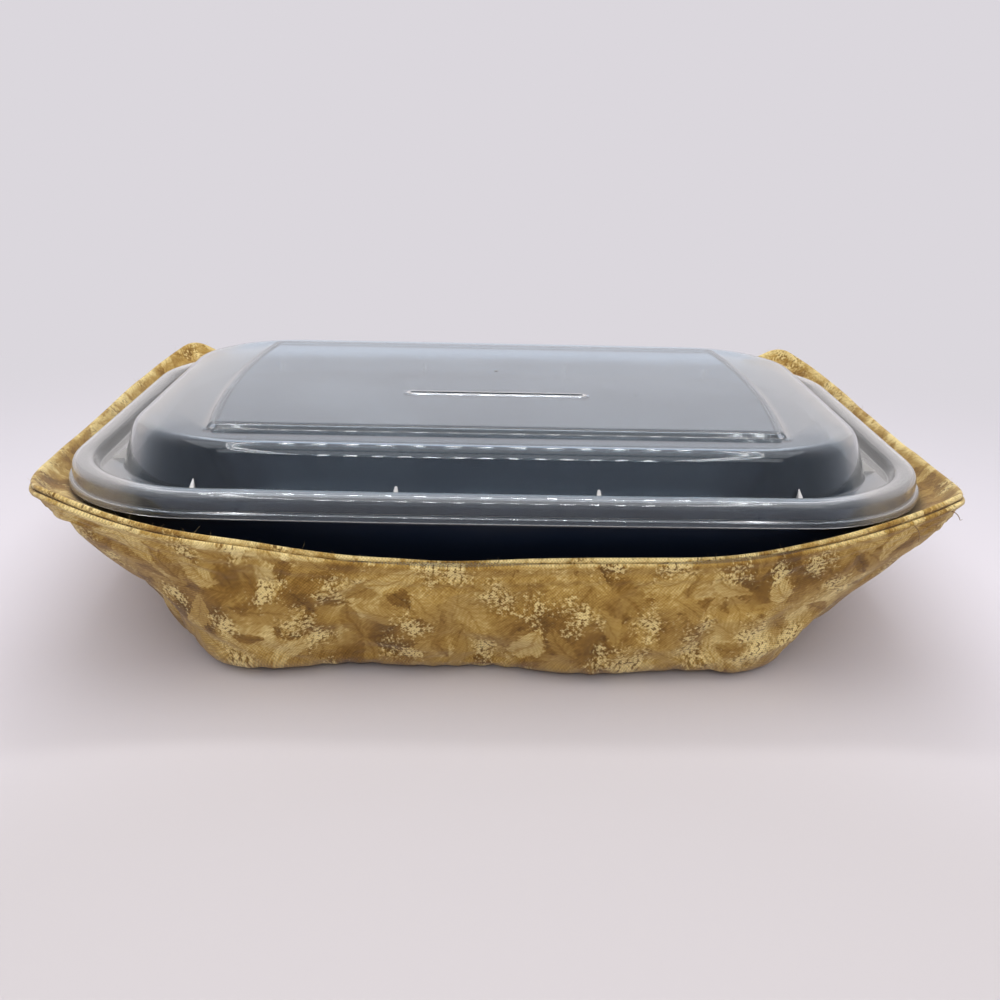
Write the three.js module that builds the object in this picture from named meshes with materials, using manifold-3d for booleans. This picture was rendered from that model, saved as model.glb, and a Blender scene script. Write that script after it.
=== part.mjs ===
// A padded cotton cozy, and the lidded microwave tray that it holds.
// Millimetres, +Z up, +X along the length, -Y to the front.
// The origin is on the surface that the cozy stands on, below its middle.
import * as THREE from "three";
import { mergeVertices } from "three/addons/utils/BufferGeometryUtils.js";
import Module from "manifold-3d";

const wasm = await Module();
wasm.setup();

// Plan of the lid and the tray, at the lid's outer edge
const LID_LENGTH = 224;
const LID_WIDTH = 157;
const CORNER_RADIUS = 37;
const CORNER_TIGHTENING = 0.48; // corner radius lost for each millimetre of inset
const SIDE_BOW = 1.8; // how far each long side swells in its middle

// Clearance between pieces that touch, and the tray's wall
const CLEARANCE = 0.3;
const TRAY_WALL = 0.9;
const TRAY_HEIGHT = 45.2;
const TRAY_RIM_WIDTH = 2.3;
const TRAY_RIM_SKIRT = 3.6;
const TRAY_RIM_ROUND = 1.1;
const TRAY_NECK_DEPTH = 7.3; // rim top down to where the sloping wall starts
const TRAY_NECK_DRAFT = 0.9;
const TRAY_BASE_INSET = 27;
const TRAY_BASE_ROUND = 12;
const TRAY_FOOT_WIDTH = 15;
const TRAY_FOOT_HEIGHT = 1.2;

// Lid: a skirt with a flange, a rounded rim, a channel and a low dome
const LID_WALL = 0.8;
const LID_RIM_HEIGHT = 6.4;
const LID_RIM_WIDTH = 4.2;
const LID_RIM_ROUND = 2;
const FLANGE_HEIGHT = 2;
const FLANGE_STEP = 0.9;
const CHANNEL_DEPTH = 4.1; // rim top down to the channel's floor
const CHANNEL_WIDTH = 6;
const CHANNEL_DRAFT = 1;
const CHANNEL_ROUND = 1;
const DOME_RISE = 8.1; // above the rim
const DOME_LEAN = 3.5;
const DOME_SHOULDER = 8;

// Raised panel on the dome, and the steam slot in it
const PANEL_RISE = 1.5;
const PANEL_END_INSET = 37.8;
const PANEL_SIDE_INSET = 27.5;
const PANEL_DRAFT = 0.6;
const PANEL_BOW = 3.6; // how far each end of the panel swells in its middle
const SLOT_LENGTH = 49;
const SLOT_WIDTH = 1.1;
const SLOT_FORWARD = 16; // in front of the lid's middle
const SLOT_LIP_WIDTH = 1.2;
const SLOT_LIP_RISE = 0.45;

// Gussets that brace the dome's foot
const GUSSET_THICKNESS = 0.9;
const GUSSET_RUN = 3.4;
const GUSSET_RISE = 3.2;
const GUSSET_ROOT = 0.4; // how far a gusset sinks into the lid that it is moulded on
const SIDE_GUSSETS = 4;
const SIDE_GUSSET_PITCH = 50;
const END_GUSSETS = 2;
const END_GUSSET_PITCH = 76;

// Long lugs on the skirt that snap over the tray's rim, and the small marks that moulding leaves
const LUG_OFFSET = 62.5; // from the lid's middle, along a long side
const LUG_LENGTH = 17;
const LUG_HEIGHT = 1.4;
const LUG_RISE = 0.45;
const MARK_SPREAD = 40;
const MARK_FORWARD = 14;
const MARK_RADIUS = 0.7;
const MARK_RISE = 0.25;
const GATE_BACK = 12; // the mark left where the lid was filled
const GATE_RADIUS = 1.1;

// Cozy: two cotton faces, each with its own sheet of wadding
const COTTON = 0.45;
const WADDING = 1.8;
const SEAM_WADDING = 0.3; // wadding pressed thin inside the rim seam
const SEAM_OUTSET = 1; // lining's face out to the pressed seam
const SEAM_ALLOWANCE = 6;
const SEAM_EASE = 2; // length over which the wadding thins into the seam
const SEAM_CROWN = 0.5;

// The lining's form, set off from the tray and the lid that it holds
const FAN_INSET = 58; // lid edge in to the centres that the corners fan out from
const SIDE_EASE = [13, 16]; // tray's base edge out to where the lining's flat base ends, and to its fold
const END_EASE = [4.3, 5];
const CORNER_EASE = [2.3, 4];
const RIM_SIDE_INSET = 5; // from the lid's edge to the lining's, middle of a long side
const RIM_END_OUTSET = 5.3;
const TIP_INSET = 6.5; // from the lid's end to a corner tip, along the length
const TIP_OUTSET = 0.8;
const TIP_ROUND = 5;
const RIM_SIDE_DROP = 15.2; // from the top of the lid's rim down to the lining's, middle of a long side
const RIM_END_DROP = 3.5;
const TIP_RISE = 4.5; // from the top of the lid's rim up to a corner tip
const RIM_SIDE_SPREAD = 1.6; // powers that shape the rim between a side's middle and a tip
const RIM_END_SPREAD = 4;
const RIM_SWEEP = 3;
const SIDE_SWEEP = 3.6; // powers with which a wall takes on the tip's lean
const END_SWEEP = 2.4;
const BASE_SWEEP = 6.4; // power with which the base's edge draws in towards a corner
const SIDE_LEAN = [5, 17]; // run and rise of the lining's wall below its rim
const END_LEAN = [14, 16];
const TIP_LEAN = [32, 35];

// Facets
const CORNER_STEPS = 5;
const SIDE_STEPS = 3;
const PANEL_STEPS = 8;
const FILLET_STEPS = 2;
const LARGE_FILLET_STEPS = 4;
const LARGE_FILLET = 1.5;
const MERGE_DISTANCE = 0.01; // joins the slivers that a cut leaves
const WALL_STEPS = 5;
const WALL_CROWDING = 1.3; // sets the levels closer together near the base
const RIM_STEPS = [0, 0.24, 0.47, 0.68, 0.86];
const TIP_STEPS = 3;

const halfLength = LID_LENGTH / 2;
const halfWidth = LID_WIDTH / 2;
const wallThickness = 2 * (COTTON + WADDING) + 3 * CLEARANCE;
const seamThickness = 4 * COTTON + 2 * SEAM_WADDING + 5 * CLEARANCE;
const trayBase = wallThickness + CLEARANCE;
const trayTop = trayBase + TRAY_HEIGHT;
const lidRimTop = trayTop + CLEARANCE + LID_WALL;
const lidSkirt = lidRimTop - LID_RIM_HEIGHT;
const channelFloor = lidRimTop - CHANNEL_DEPTH;
const domeTop = lidRimTop + DOME_RISE;
const panelTop = domeTop + PANEL_RISE;

const clearLid = new THREE.MeshStandardMaterial({
  color: "#b9bfc4",
  roughness: 0.22,
  metalness: 0,
  transparent: true,
  opacity: 0.4,
});
const blackTray = new THREE.MeshStandardMaterial({ color: "#0b0d14", roughness: 0.4, metalness: 0 });
const printedCotton = new THREE.MeshStandardMaterial({ color: "#9c7a3c", roughness: 0.95, metalness: 0 });
const cottonWadding = new THREE.MeshStandardMaterial({ color: "#e8e0cf", roughness: 1, metalness: 0 });

// A closed body from a run of rings that all turn the same way and have as many points.
// The run starts at the middle of the underside and ends at the middle of the upper side.
// Each facet is split from its lower ring to its upper one, so nested faces keep their spacing.
function loft(rings) {
  const count = rings[0].length;
  const middles = rings.map((ring) =>
    ring.reduce((sum, point) => sum.add(point), new THREE.Vector3()).divideScalar(count));
  const points = [...rings.flat(), middles[0], middles.at(-1)];
  const under = points.length - 2;
  const upper = points.length - 1;
  const last = under - count;
  const faces = [];
  for (let j = 0; j < count; j++) {
    const k = (j + 1) % count;
    for (let i = 1; i < rings.length; i++) {
      const b = i * count;
      const a = b - count;
      const rises = middles[i].z >= middles[i - 1].z;
      if (rises) faces.push(a + j, a + k, b + k, a + j, b + k, b + j);
      else faces.push(a + j, a + k, b + j, a + k, b + k, b + j);
    }
    faces.push(under, k, j, upper, last + j, last + k);
  }
  return new THREE.BufferGeometry().setFromPoints(points).setIndex(faces);
}

function solidOf(geometry) {
  const bare = geometry.clone();
  bare.deleteAttribute("normal");
  bare.deleteAttribute("uv");
  const merged = mergeVertices(bare);
  const vertProperties = new Float32Array(merged.attributes.position.array);
  const triVerts = new Uint32Array(merged.index.array);
  return new wasm.Manifold(new wasm.Mesh({ numProp: 3, vertProperties, triVerts }));
}

function geometryOf(solid) {
  const { vertProperties, triVerts } = solid.asOriginal().simplify(MERGE_DISTANCE).getMesh();
  return new THREE.BufferGeometry()
    .setAttribute("position", new THREE.BufferAttribute(vertProperties, 3))
    .setIndex(new THREE.BufferAttribute(triVerts, 1));
}

function pieceOf(name, geometry, material) {
  geometry.computeVertexNormals();
  const piece = new THREE.Mesh(geometry, material);
  piece.name = name;
  return piece;
}

// Points along straight runs with rounded corners. A corner is [inset, height, radius].
function filletedPath(corners) {
  const at = corners.map(([inset, height]) => new THREE.Vector2(inset, height));
  return corners.flatMap(([, , radius], i) => {
    if (!radius) return [at[i]];
    const back = at[i - 1].clone().sub(at[i]);
    const ahead = at[i + 1].clone().sub(at[i]);
    const opening = Math.acos(back.dot(ahead) / (back.length() * ahead.length()));
    const longest = 0.48 * Math.min(back.length(), ahead.length());
    const setback = Math.min(radius / Math.tan(opening / 2), longest);
    const from = at[i].clone().addScaledVector(back.normalize(), setback);
    const to = at[i].clone().addScaledVector(ahead.normalize(), setback);
    const steps = radius < LARGE_FILLET ? FILLET_STEPS : LARGE_FILLET_STEPS;
    return new THREE.QuadraticBezierCurve(from, at[i], to).getPoints(steps);
  });
}

// The path moved sideways, to its left where the distance is positive.
function offsetPath(path, distance) {
  return path.map((point, i) => {
    const before = path[Math.max(i - 1, 0)];
    const after = path[Math.min(i + 1, path.length - 1)];
    const run = after.clone().sub(before).normalize();
    return new THREE.Vector2(point.x - run.y * distance, point.y + run.x * distance);
  });
}

// The outline of the lid and tray, drawn in by an inset, at a height.
function outlineRing(inset, height) {
  const reach = new THREE.Vector2(halfLength - inset, halfWidth - inset);
  const radius = CORNER_RADIUS - CORNER_TIGHTENING * inset;
  const ring = [];
  const addRun = (from, to, steps) => {
    for (let i = 0; i < steps; i++) ring.push(from.clone().lerp(to, i / steps));
  };
  const corners = [[1, -1], [1, 1], [-1, 1], [-1, -1]].map(([x, y], i) => {
    const centre = new THREE.Vector2(x * (reach.x - radius), y * (reach.y - radius));
    const start = (i - 1) * (Math.PI / 2);
    return Array.from({ length: CORNER_STEPS + 1 }, (_, step) => {
      const angle = start + (step / CORNER_STEPS) * (Math.PI / 2);
      return new THREE.Vector2(Math.cos(angle), Math.sin(angle)).multiplyScalar(radius).add(centre);
    });
  });
  corners.forEach((arc, i) => {
    ring.push(...arc.slice(0, -1));
    addRun(arc.at(-1), corners[(i + 1) % corners.length][0], SIDE_STEPS);
  });
  return ring.map(({ x, y }) => {
    const bow = 1 - (SIDE_BOW / halfWidth) * (x / halfLength) ** 2;
    return new THREE.Vector3(x, y * bow, height);
  });
}

// A thin moulded shell whose wall follows a path from its outer lip to its middle.
function mouldedShell(path, wall) {
  const ringsOn = (side) => offsetPath(path, side * wall / 2).map(({ x, y }) => outlineRing(x, y));
  return loft([...ringsOn(-1).reverse(), ...ringsOn(1)]);
}

// Tray: rolled rim, sloping wall and a foot that runs round a raised base
function makeTray() {
  const half = TRAY_WALL / 2;
  const lip = FLANGE_STEP + LID_WALL + CLEARANCE + half;
  const neck = lip + TRAY_RIM_WIDTH;
  const foot = TRAY_BASE_INSET + TRAY_FOOT_WIDTH;
  const path = filletedPath([
    [lip, trayTop - TRAY_RIM_SKIRT],
    [lip, trayTop - half, TRAY_RIM_ROUND],
    [neck, trayTop - half, TRAY_RIM_ROUND],
    [neck + TRAY_NECK_DRAFT, trayTop - TRAY_NECK_DEPTH, TRAY_RIM_ROUND],
    [TRAY_BASE_INSET, trayBase + half, TRAY_BASE_ROUND],
    [foot, trayBase + half, TRAY_FOOT_HEIGHT],
    [foot + TRAY_FOOT_HEIGHT, trayBase + half + TRAY_FOOT_HEIGHT, TRAY_FOOT_HEIGHT],
    [foot + TRAY_FOOT_WIDTH, trayBase + half + TRAY_FOOT_HEIGHT],
  ]);
  return pieceOf("tray", mouldedShell(path, TRAY_WALL), blackTray);
}

const domeFoot = LID_WALL / 2 + FLANGE_STEP + LID_RIM_WIDTH + CHANNEL_DRAFT + CHANNEL_WIDTH;

function makeLidShell() {
  const half = LID_WALL / 2;
  const skirt = half + FLANGE_STEP;
  const plug = skirt + LID_RIM_WIDTH;
  const flangeTop = lidSkirt + FLANGE_HEIGHT - half;
  const path = filletedPath([
    [half, lidSkirt],
    [half, flangeTop, FLANGE_STEP / 2],
    [skirt, flangeTop, FLANGE_STEP / 2],
    [skirt, lidRimTop - half, LID_RIM_ROUND],
    [plug, lidRimTop - half, LID_RIM_ROUND],
    [plug + CHANNEL_DRAFT, channelFloor - half, CHANNEL_ROUND],
    [domeFoot, channelFloor - half, CHANNEL_ROUND],
    [domeFoot + DOME_LEAN, domeTop - half, DOME_SHOULDER],
    [domeFoot + DOME_LEAN + 2 * DOME_SHOULDER, domeTop - half],
  ]);
  return solidOf(mouldedShell(path, LID_WALL));
}

// A block with bowed ends that narrows upwards, for the panel and the hollow below it
function panelBlock(from, to, grow) {
  const ringAt = (height, draft) => {
    const x = halfLength - PANEL_END_INSET + grow - draft;
    const y = halfWidth - PANEL_SIDE_INSET + grow - draft;
    const end = Array.from({ length: PANEL_STEPS + 1 }, (_, i) => {
      const along = (2 * i) / PANEL_STEPS - 1;
      return new THREE.Vector3(x + PANEL_BOW * (1 - along ** 2), y * along, height);
    });
    return [...end, ...end.map((point) => new THREE.Vector3(-point.x, -point.y, height))];
  };
  return solidOf(loft([ringAt(from, 0), ringAt(to, PANEL_DRAFT)]));
}

// An upright bar with round ends along the steam slot
function slotBar(width, from, to) {
  const run = (SLOT_LENGTH - SLOT_WIDTH) / 2;
  const shape = new THREE.Shape();
  shape.absarc(run, 0, width / 2, -Math.PI / 2, Math.PI / 2);
  shape.absarc(-run, 0, width / 2, Math.PI / 2, Math.PI * 1.5);
  const options = { depth: to - from, bevelEnabled: false, curveSegments: LARGE_FILLET_STEPS };
  const bar = new THREE.ExtrudeGeometry(shape, options);
  return solidOf(bar.translate(0, -SLOT_FORWARD, from));
}

// One gusset standing in the channel: inward is local +Y, measured from the lid's edge
function gussetGeometry() {
  const low = channelFloor - GUSSET_ROOT;
  const outer = domeFoot - GUSSET_RUN;
  const lean = (DOME_LEAN * GUSSET_RISE) / (domeTop - channelFloor);
  const shape = new THREE.Shape([
    new THREE.Vector2(outer, low),
    new THREE.Vector2(domeFoot + GUSSET_ROOT, low),
    new THREE.Vector2(domeFoot + GUSSET_ROOT + lean, channelFloor + GUSSET_RISE),
    new THREE.Vector2(outer, channelFloor),
  ]);
  const gusset = new THREE.ExtrudeGeometry(shape, { depth: GUSSET_THICKNESS, bevelEnabled: false });
  return gusset.translate(0, 0, -GUSSET_THICKNESS / 2).rotateY(Math.PI / 2).rotateX(Math.PI / 2);
}

function spread(count, pitch) {
  return Array.from({ length: count }, (_, i) => (i - (count - 1) / 2) * pitch);
}

function lidGussets() {
  const gusset = gussetGeometry();
  const front = spread(SIDE_GUSSETS, SIDE_GUSSET_PITCH).map((along) => {
    const edge = halfWidth - SIDE_BOW * (along / halfLength) ** 2;
    return gusset.clone().translate(along, -edge, 0);
  });
  const left = spread(END_GUSSETS, END_GUSSET_PITCH).map((along) =>
    gusset.clone().rotateZ(-Math.PI / 2).translate(-halfLength, along, 0));
  const half = [...front, ...left];
  return [...half, ...half.map((g) => g.clone().rotateZ(Math.PI))].map(solidOf);
}

// A lens-shaped lug on the skirt of the front side, in front of the lid's middle
function lugGeometry() {
  const shape = new THREE.Shape();
  shape.absellipse(0, 0, LUG_LENGTH / 2, LUG_RISE, 0, Math.PI);
  shape.lineTo(-LUG_LENGTH / 2, -GUSSET_ROOT);
  shape.lineTo(LUG_LENGTH / 2, -GUSSET_ROOT);
  const options = { depth: LUG_HEIGHT, bevelEnabled: false, curveSegments: LARGE_FILLET_STEPS };
  const lug = new THREE.ExtrudeGeometry(shape, options);
  return lug.rotateZ(Math.PI).translate(0, FLANGE_STEP, lidSkirt + FLANGE_HEIGHT - GUSSET_ROOT);
}

function lidLugs() {
  const lug = lugGeometry();
  const front = spread(2, 2 * LUG_OFFSET).map((along) => {
    const edge = halfWidth - SIDE_BOW * (along / halfLength) ** 2;
    const slope = (2 * SIDE_BOW * along) / halfLength ** 2;
    return lug.clone().rotateZ(slope).translate(along, -edge, 0);
  });
  return [...front, ...front.map((g) => g.clone().rotateZ(Math.PI))].map(solidOf);
}

function mouldMarks() {
  const markAt = (x, y, radius) => {
    const mark = new THREE.CylinderGeometry(radius / 2, radius, 2 * MARK_RISE, 2 * LARGE_FILLET_STEPS);
    return solidOf(mark.rotateX(Math.PI / 2).translate(x, y, panelTop));
  };
  const pair = spread(2, 2 * MARK_SPREAD).map((x) => markAt(x, -MARK_FORWARD, MARK_RADIUS));
  return [...pair, markAt(0, GATE_BACK, GATE_RADIUS)];
}

function makeLid() {
  const sunk = LID_WALL / 2;
  const panel = panelBlock(domeTop - sunk, panelTop, 0);
  const hollow = panelBlock(domeTop - LID_WALL - sunk, panelTop - LID_WALL, -LID_WALL);
  const lip = slotBar(SLOT_WIDTH + 2 * SLOT_LIP_WIDTH, panelTop - sunk, panelTop + SLOT_LIP_RISE);
  const slot = slotBar(SLOT_WIDTH, domeTop - LID_WALL, panelTop + LID_WALL);
  let solid = makeLidShell().add(panel).subtract(hollow).add(lip).subtract(slot);
  for (const detail of [...lidGussets(), ...lidLugs(), ...mouldMarks()]) solid = solid.add(detail);
  return pieceOf("lid", geometryOf(solid), clearLid);
}

// The lining's rim over one quarter, from the front's middle round the tip to the right end.
// Each station has its place on the rim, and how far its lean and its base have gone towards the tip's.
function rimQuarter() {
  const tipHeight = lidRimTop + TIP_RISE;
  const tip = new THREE.Vector3(halfLength - TIP_INSET, -(halfWidth + TIP_OUTSET), tipHeight);
  const side = (share) => {
    const y = THREE.MathUtils.lerp(-(halfWidth - RIM_SIDE_INSET), tip.y, share ** RIM_SIDE_SPREAD);
    const z = THREE.MathUtils.lerp(lidRimTop - RIM_SIDE_DROP, tip.z, share ** RIM_SWEEP);
    return new THREE.Vector3(tip.x * share, y, z);
  };
  const end = (share) => {
    const x = THREE.MathUtils.lerp(halfLength + RIM_END_OUTSET, tip.x, share ** RIM_END_SPREAD);
    const z = THREE.MathUtils.lerp(lidRimTop - RIM_END_DROP, tip.z, share ** RIM_SWEEP);
    return new THREE.Vector3(x, tip.y * share, z);
  };
  const lastSide = 1 - TIP_ROUND / tip.x;
  const lastEnd = 1 - TIP_ROUND / -tip.y;
  const round = new THREE.QuadraticBezierCurve3(side(lastSide), tip, end(lastEnd));
  const stationsOn = (curve, last, sweep, lean, ease) => RIM_STEPS.map((step) => {
    const share = step * last;
    return { rim: curve(share), leanShare: share ** sweep, baseShare: share ** BASE_SWEEP, lean, ease };
  });
  const sideStations = stationsOn(side, lastSide, SIDE_SWEEP, SIDE_LEAN, SIDE_EASE);
  const endStations = stationsOn(end, lastEnd, END_SWEEP, END_LEAN, END_EASE);
  const tipStations = round.getPoints(TIP_STEPS).map((rim) => ({
    rim, leanShare: 1, baseShare: 1, lean: TIP_LEAN, ease: CORNER_EASE,
  }));
  return [...sideStations, ...tipStations, ...endStations.reverse()];
}

function mirrored(stations, x, y) {
  return stations.map((s) => ({ ...s, rim: new THREE.Vector3(s.rim.x * x, s.rim.y * y, s.rim.z) }));
}

// The whole rim, anticlockwise from the middle of the front. A quarter's ends are shared.
function rimStations() {
  const quarter = rimQuarter();
  const back = [...quarter].reverse();
  return [
    ...quarter.slice(0, -1),
    ...mirrored(back, 1, -1).slice(0, -1),
    ...mirrored(quarter, -1, -1).slice(0, -1),
    ...mirrored(back, -1, 1).slice(0, -1),
  ];
}

// At each station the lining's wall is a curve in an upright plane, from the flat base to the rim.
function wallCurves() {
  const fan = new THREE.Vector2(halfLength - FAN_INSET, halfWidth - FAN_INSET);
  const trayEdge = FAN_INSET - TRAY_BASE_INSET;
  return rimStations().map(({ rim, leanShare, baseShare, lean, ease }) => {
    const plan = new THREE.Vector2(rim.x, rim.y);
    const foot = plan.clone().clamp(fan.clone().negate(), fan);
    const out = plan.clone().sub(foot);
    const reach = out.length();
    const [run, rise] = lean.map((value, i) => THREE.MathUtils.lerp(value, TIP_LEAN[i], leanShare));
    const [flat, fold] = ease.map((value, i) => THREE.MathUtils.lerp(value, CORNER_EASE[i], baseShare));
    const curve = new THREE.CubicBezierCurve(
      new THREE.Vector2(trayEdge + flat, wallThickness),
      new THREE.Vector2(trayEdge + fold, wallThickness),
      new THREE.Vector2(reach - run, rim.z - rise),
      new THREE.Vector2(reach, rim.z),
    );
    return { foot, out: out.normalize(), curve, length: curve.getLength() };
  });
}

const walls = wallCurves();

// A ring round the cozy: so far below the rim along the wall, and so deep out from the lining's face.
// A negative drop stands above the rim.
function cozyRing(dropOf, depth) {
  return walls.map((wall) => {
    const drop = dropOf(wall);
    const share = THREE.MathUtils.clamp(1 - drop / wall.length, 0, 1);
    const run = wall.curve.getTangentAt(share);
    const at = wall.curve.getPointAt(share);
    at.add(new THREE.Vector2(run.y, -run.x).multiplyScalar(depth));
    at.addScaledVector(run, Math.max(-drop, 0));
    return new THREE.Vector3(wall.foot.x + wall.out.x * at.x, wall.foot.y + wall.out.y * at.x, at.y);
  });
}

const seamEnd = SEAM_ALLOWANCE + CLEARANCE;
const fullFrom = seamEnd + SEAM_EASE;
// Levels of the wall, from the base up to where the seam starts to press it
const wallDrops = Array.from({ length: WALL_STEPS + 1 }, (_, i) => {
  const share = (i / WALL_STEPS) ** WALL_CROWDING;
  return (wall) => THREE.MathUtils.lerp(wall.length, fullFrom, share);
});
const dropTo = (distance) => () => distance;

// A cotton face: its skin, the crown over the wadding, and the allowance turned into the seam.
// The depths of a face mirror those of the other about the seam.
function cottonFace(name, isLining) {
  const deep = (depth, thickness) => (isLining ? depth : thickness - depth);
  const inSeam = (drop, depth) => cozyRing(dropTo(drop), SEAM_OUTSET + deep(depth, seamThickness));
  const skin = (depth) => [
    ...wallDrops.map((drop) => cozyRing(drop, deep(depth, wallThickness))),
    inSeam(seamEnd, depth),
    inSeam(depth, depth),
  ];
  const fold = seamThickness / 2 - CLEARANCE / 2;
  const face = skin(0);
  const crown = [
    inSeam(-SEAM_CROWN, COTTON),
    inSeam(-SEAM_CROWN, fold - COTTON),
    inSeam(0, fold),
    inSeam(SEAM_ALLOWANCE, fold),
    inSeam(SEAM_ALLOWANCE, fold - COTTON),
    inSeam(COTTON, fold - COTTON),
  ];
  const back = skin(COTTON).reverse();
  const rings = [...face, ...crown, ...back];
  return pieceOf(name, loft(isLining ? rings.reverse() : rings), printedCotton);
}

// A sheet of wadding behind a face, pressed thin where the seam allowances lie
function waddingSheet(name, isLining) {
  const deep = (depth, thickness) => (isLining ? depth : thickness - depth);
  const front = COTTON + CLEARANCE;
  const top = COTTON + CLEARANCE;
  const inSeam = (drop, depth) => cozyRing(dropTo(drop), SEAM_OUTSET + deep(depth, seamThickness));
  const near = [
    ...wallDrops.map((drop) => cozyRing(drop, deep(front, wallThickness))),
    inSeam(seamEnd, front),
    inSeam(top, front),
  ];
  const far = [
    inSeam(top, front + SEAM_WADDING),
    inSeam(seamEnd, front + SEAM_WADDING),
    ...wallDrops.map((drop) => cozyRing(drop, deep(front + WADDING, wallThickness))).reverse(),
  ];
  const rings = [...near, ...far];
  return pieceOf(name, loft(isLining ? rings.reverse() : rings), cottonWadding);
}

const cozy = new THREE.Group();
cozy.add(cottonFace("outer_cover", false));
cozy.add(waddingSheet("outer_wadding", false));
cozy.add(waddingSheet("lining_wadding", true));
cozy.add(cottonFace("lining", true));

const container = new THREE.Group();
container.add(makeTray());
container.add(makeLid());

const assembly = new THREE.Group();
assembly.add(cozy, container);

export default assembly;
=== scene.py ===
"""A padded cotton cozy and the lidded microwave tray that it holds, dressed round their fixed frame.

Metres, +Z up, +X along the length, -Y to the front.
"""

import math
from itertools import takewhile

import bmesh
import bpy
import numpy as np
from bpy.props import FloatProperty, FloatVectorProperty, IntProperty, PointerProperty
from mathutils import Matrix, Vector
from mathutils.bvhtree import BVHTree


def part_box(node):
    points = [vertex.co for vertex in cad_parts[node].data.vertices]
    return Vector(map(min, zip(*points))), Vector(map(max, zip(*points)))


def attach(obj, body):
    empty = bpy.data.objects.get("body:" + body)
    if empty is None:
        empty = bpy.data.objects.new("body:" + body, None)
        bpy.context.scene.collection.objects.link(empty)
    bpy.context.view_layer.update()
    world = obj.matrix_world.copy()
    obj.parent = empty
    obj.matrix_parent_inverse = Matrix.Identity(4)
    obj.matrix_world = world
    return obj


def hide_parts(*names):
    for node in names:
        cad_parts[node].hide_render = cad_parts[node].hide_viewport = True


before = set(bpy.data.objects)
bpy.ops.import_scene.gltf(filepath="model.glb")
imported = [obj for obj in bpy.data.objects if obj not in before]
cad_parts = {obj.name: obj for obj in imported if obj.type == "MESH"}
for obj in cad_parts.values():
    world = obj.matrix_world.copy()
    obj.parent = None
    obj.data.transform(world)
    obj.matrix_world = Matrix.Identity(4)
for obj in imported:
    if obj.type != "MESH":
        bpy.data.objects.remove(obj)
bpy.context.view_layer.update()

bl_info = {
    "name": "Microwave Container Cozy",
    "version": (1, 0, 0),
    "blender": (4, 5, 0),
    "location": "View3D > Sidebar > Cozy",
    "description": "Builds a padded cozy, the tray and lid that it holds, and the stage that shows them",
    "category": "Add Mesh",
}

MM = 0.001


def linear(code):
    """Linear colour from an sRGB hex value."""
    shares = [int(code[i:i + 2], 16) / 255 for i in (1, 3, 5)]
    return tuple(s / 12.92 if s <= 0.04045 else ((s + 0.055) / 1.055) ** 2.4 for s in shares)


def length(name, description, millimetres):
    """A length property, given in millimetres."""
    return FloatProperty(
        name=name, description=description, default=millimetres * MM, unit="LENGTH", precision=5
    )


def factor(name, description, value):
    """A plain number property."""
    return FloatProperty(name=name, description=description, default=value, precision=3)


def colour(name, description, code):
    """A colour property, given as sRGB hex."""
    return FloatVectorProperty(
        name=name, description=description, subtype="COLOR", size=3, min=0, max=1, default=linear(code)
    )


lid_low, lid_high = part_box("lid")


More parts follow.
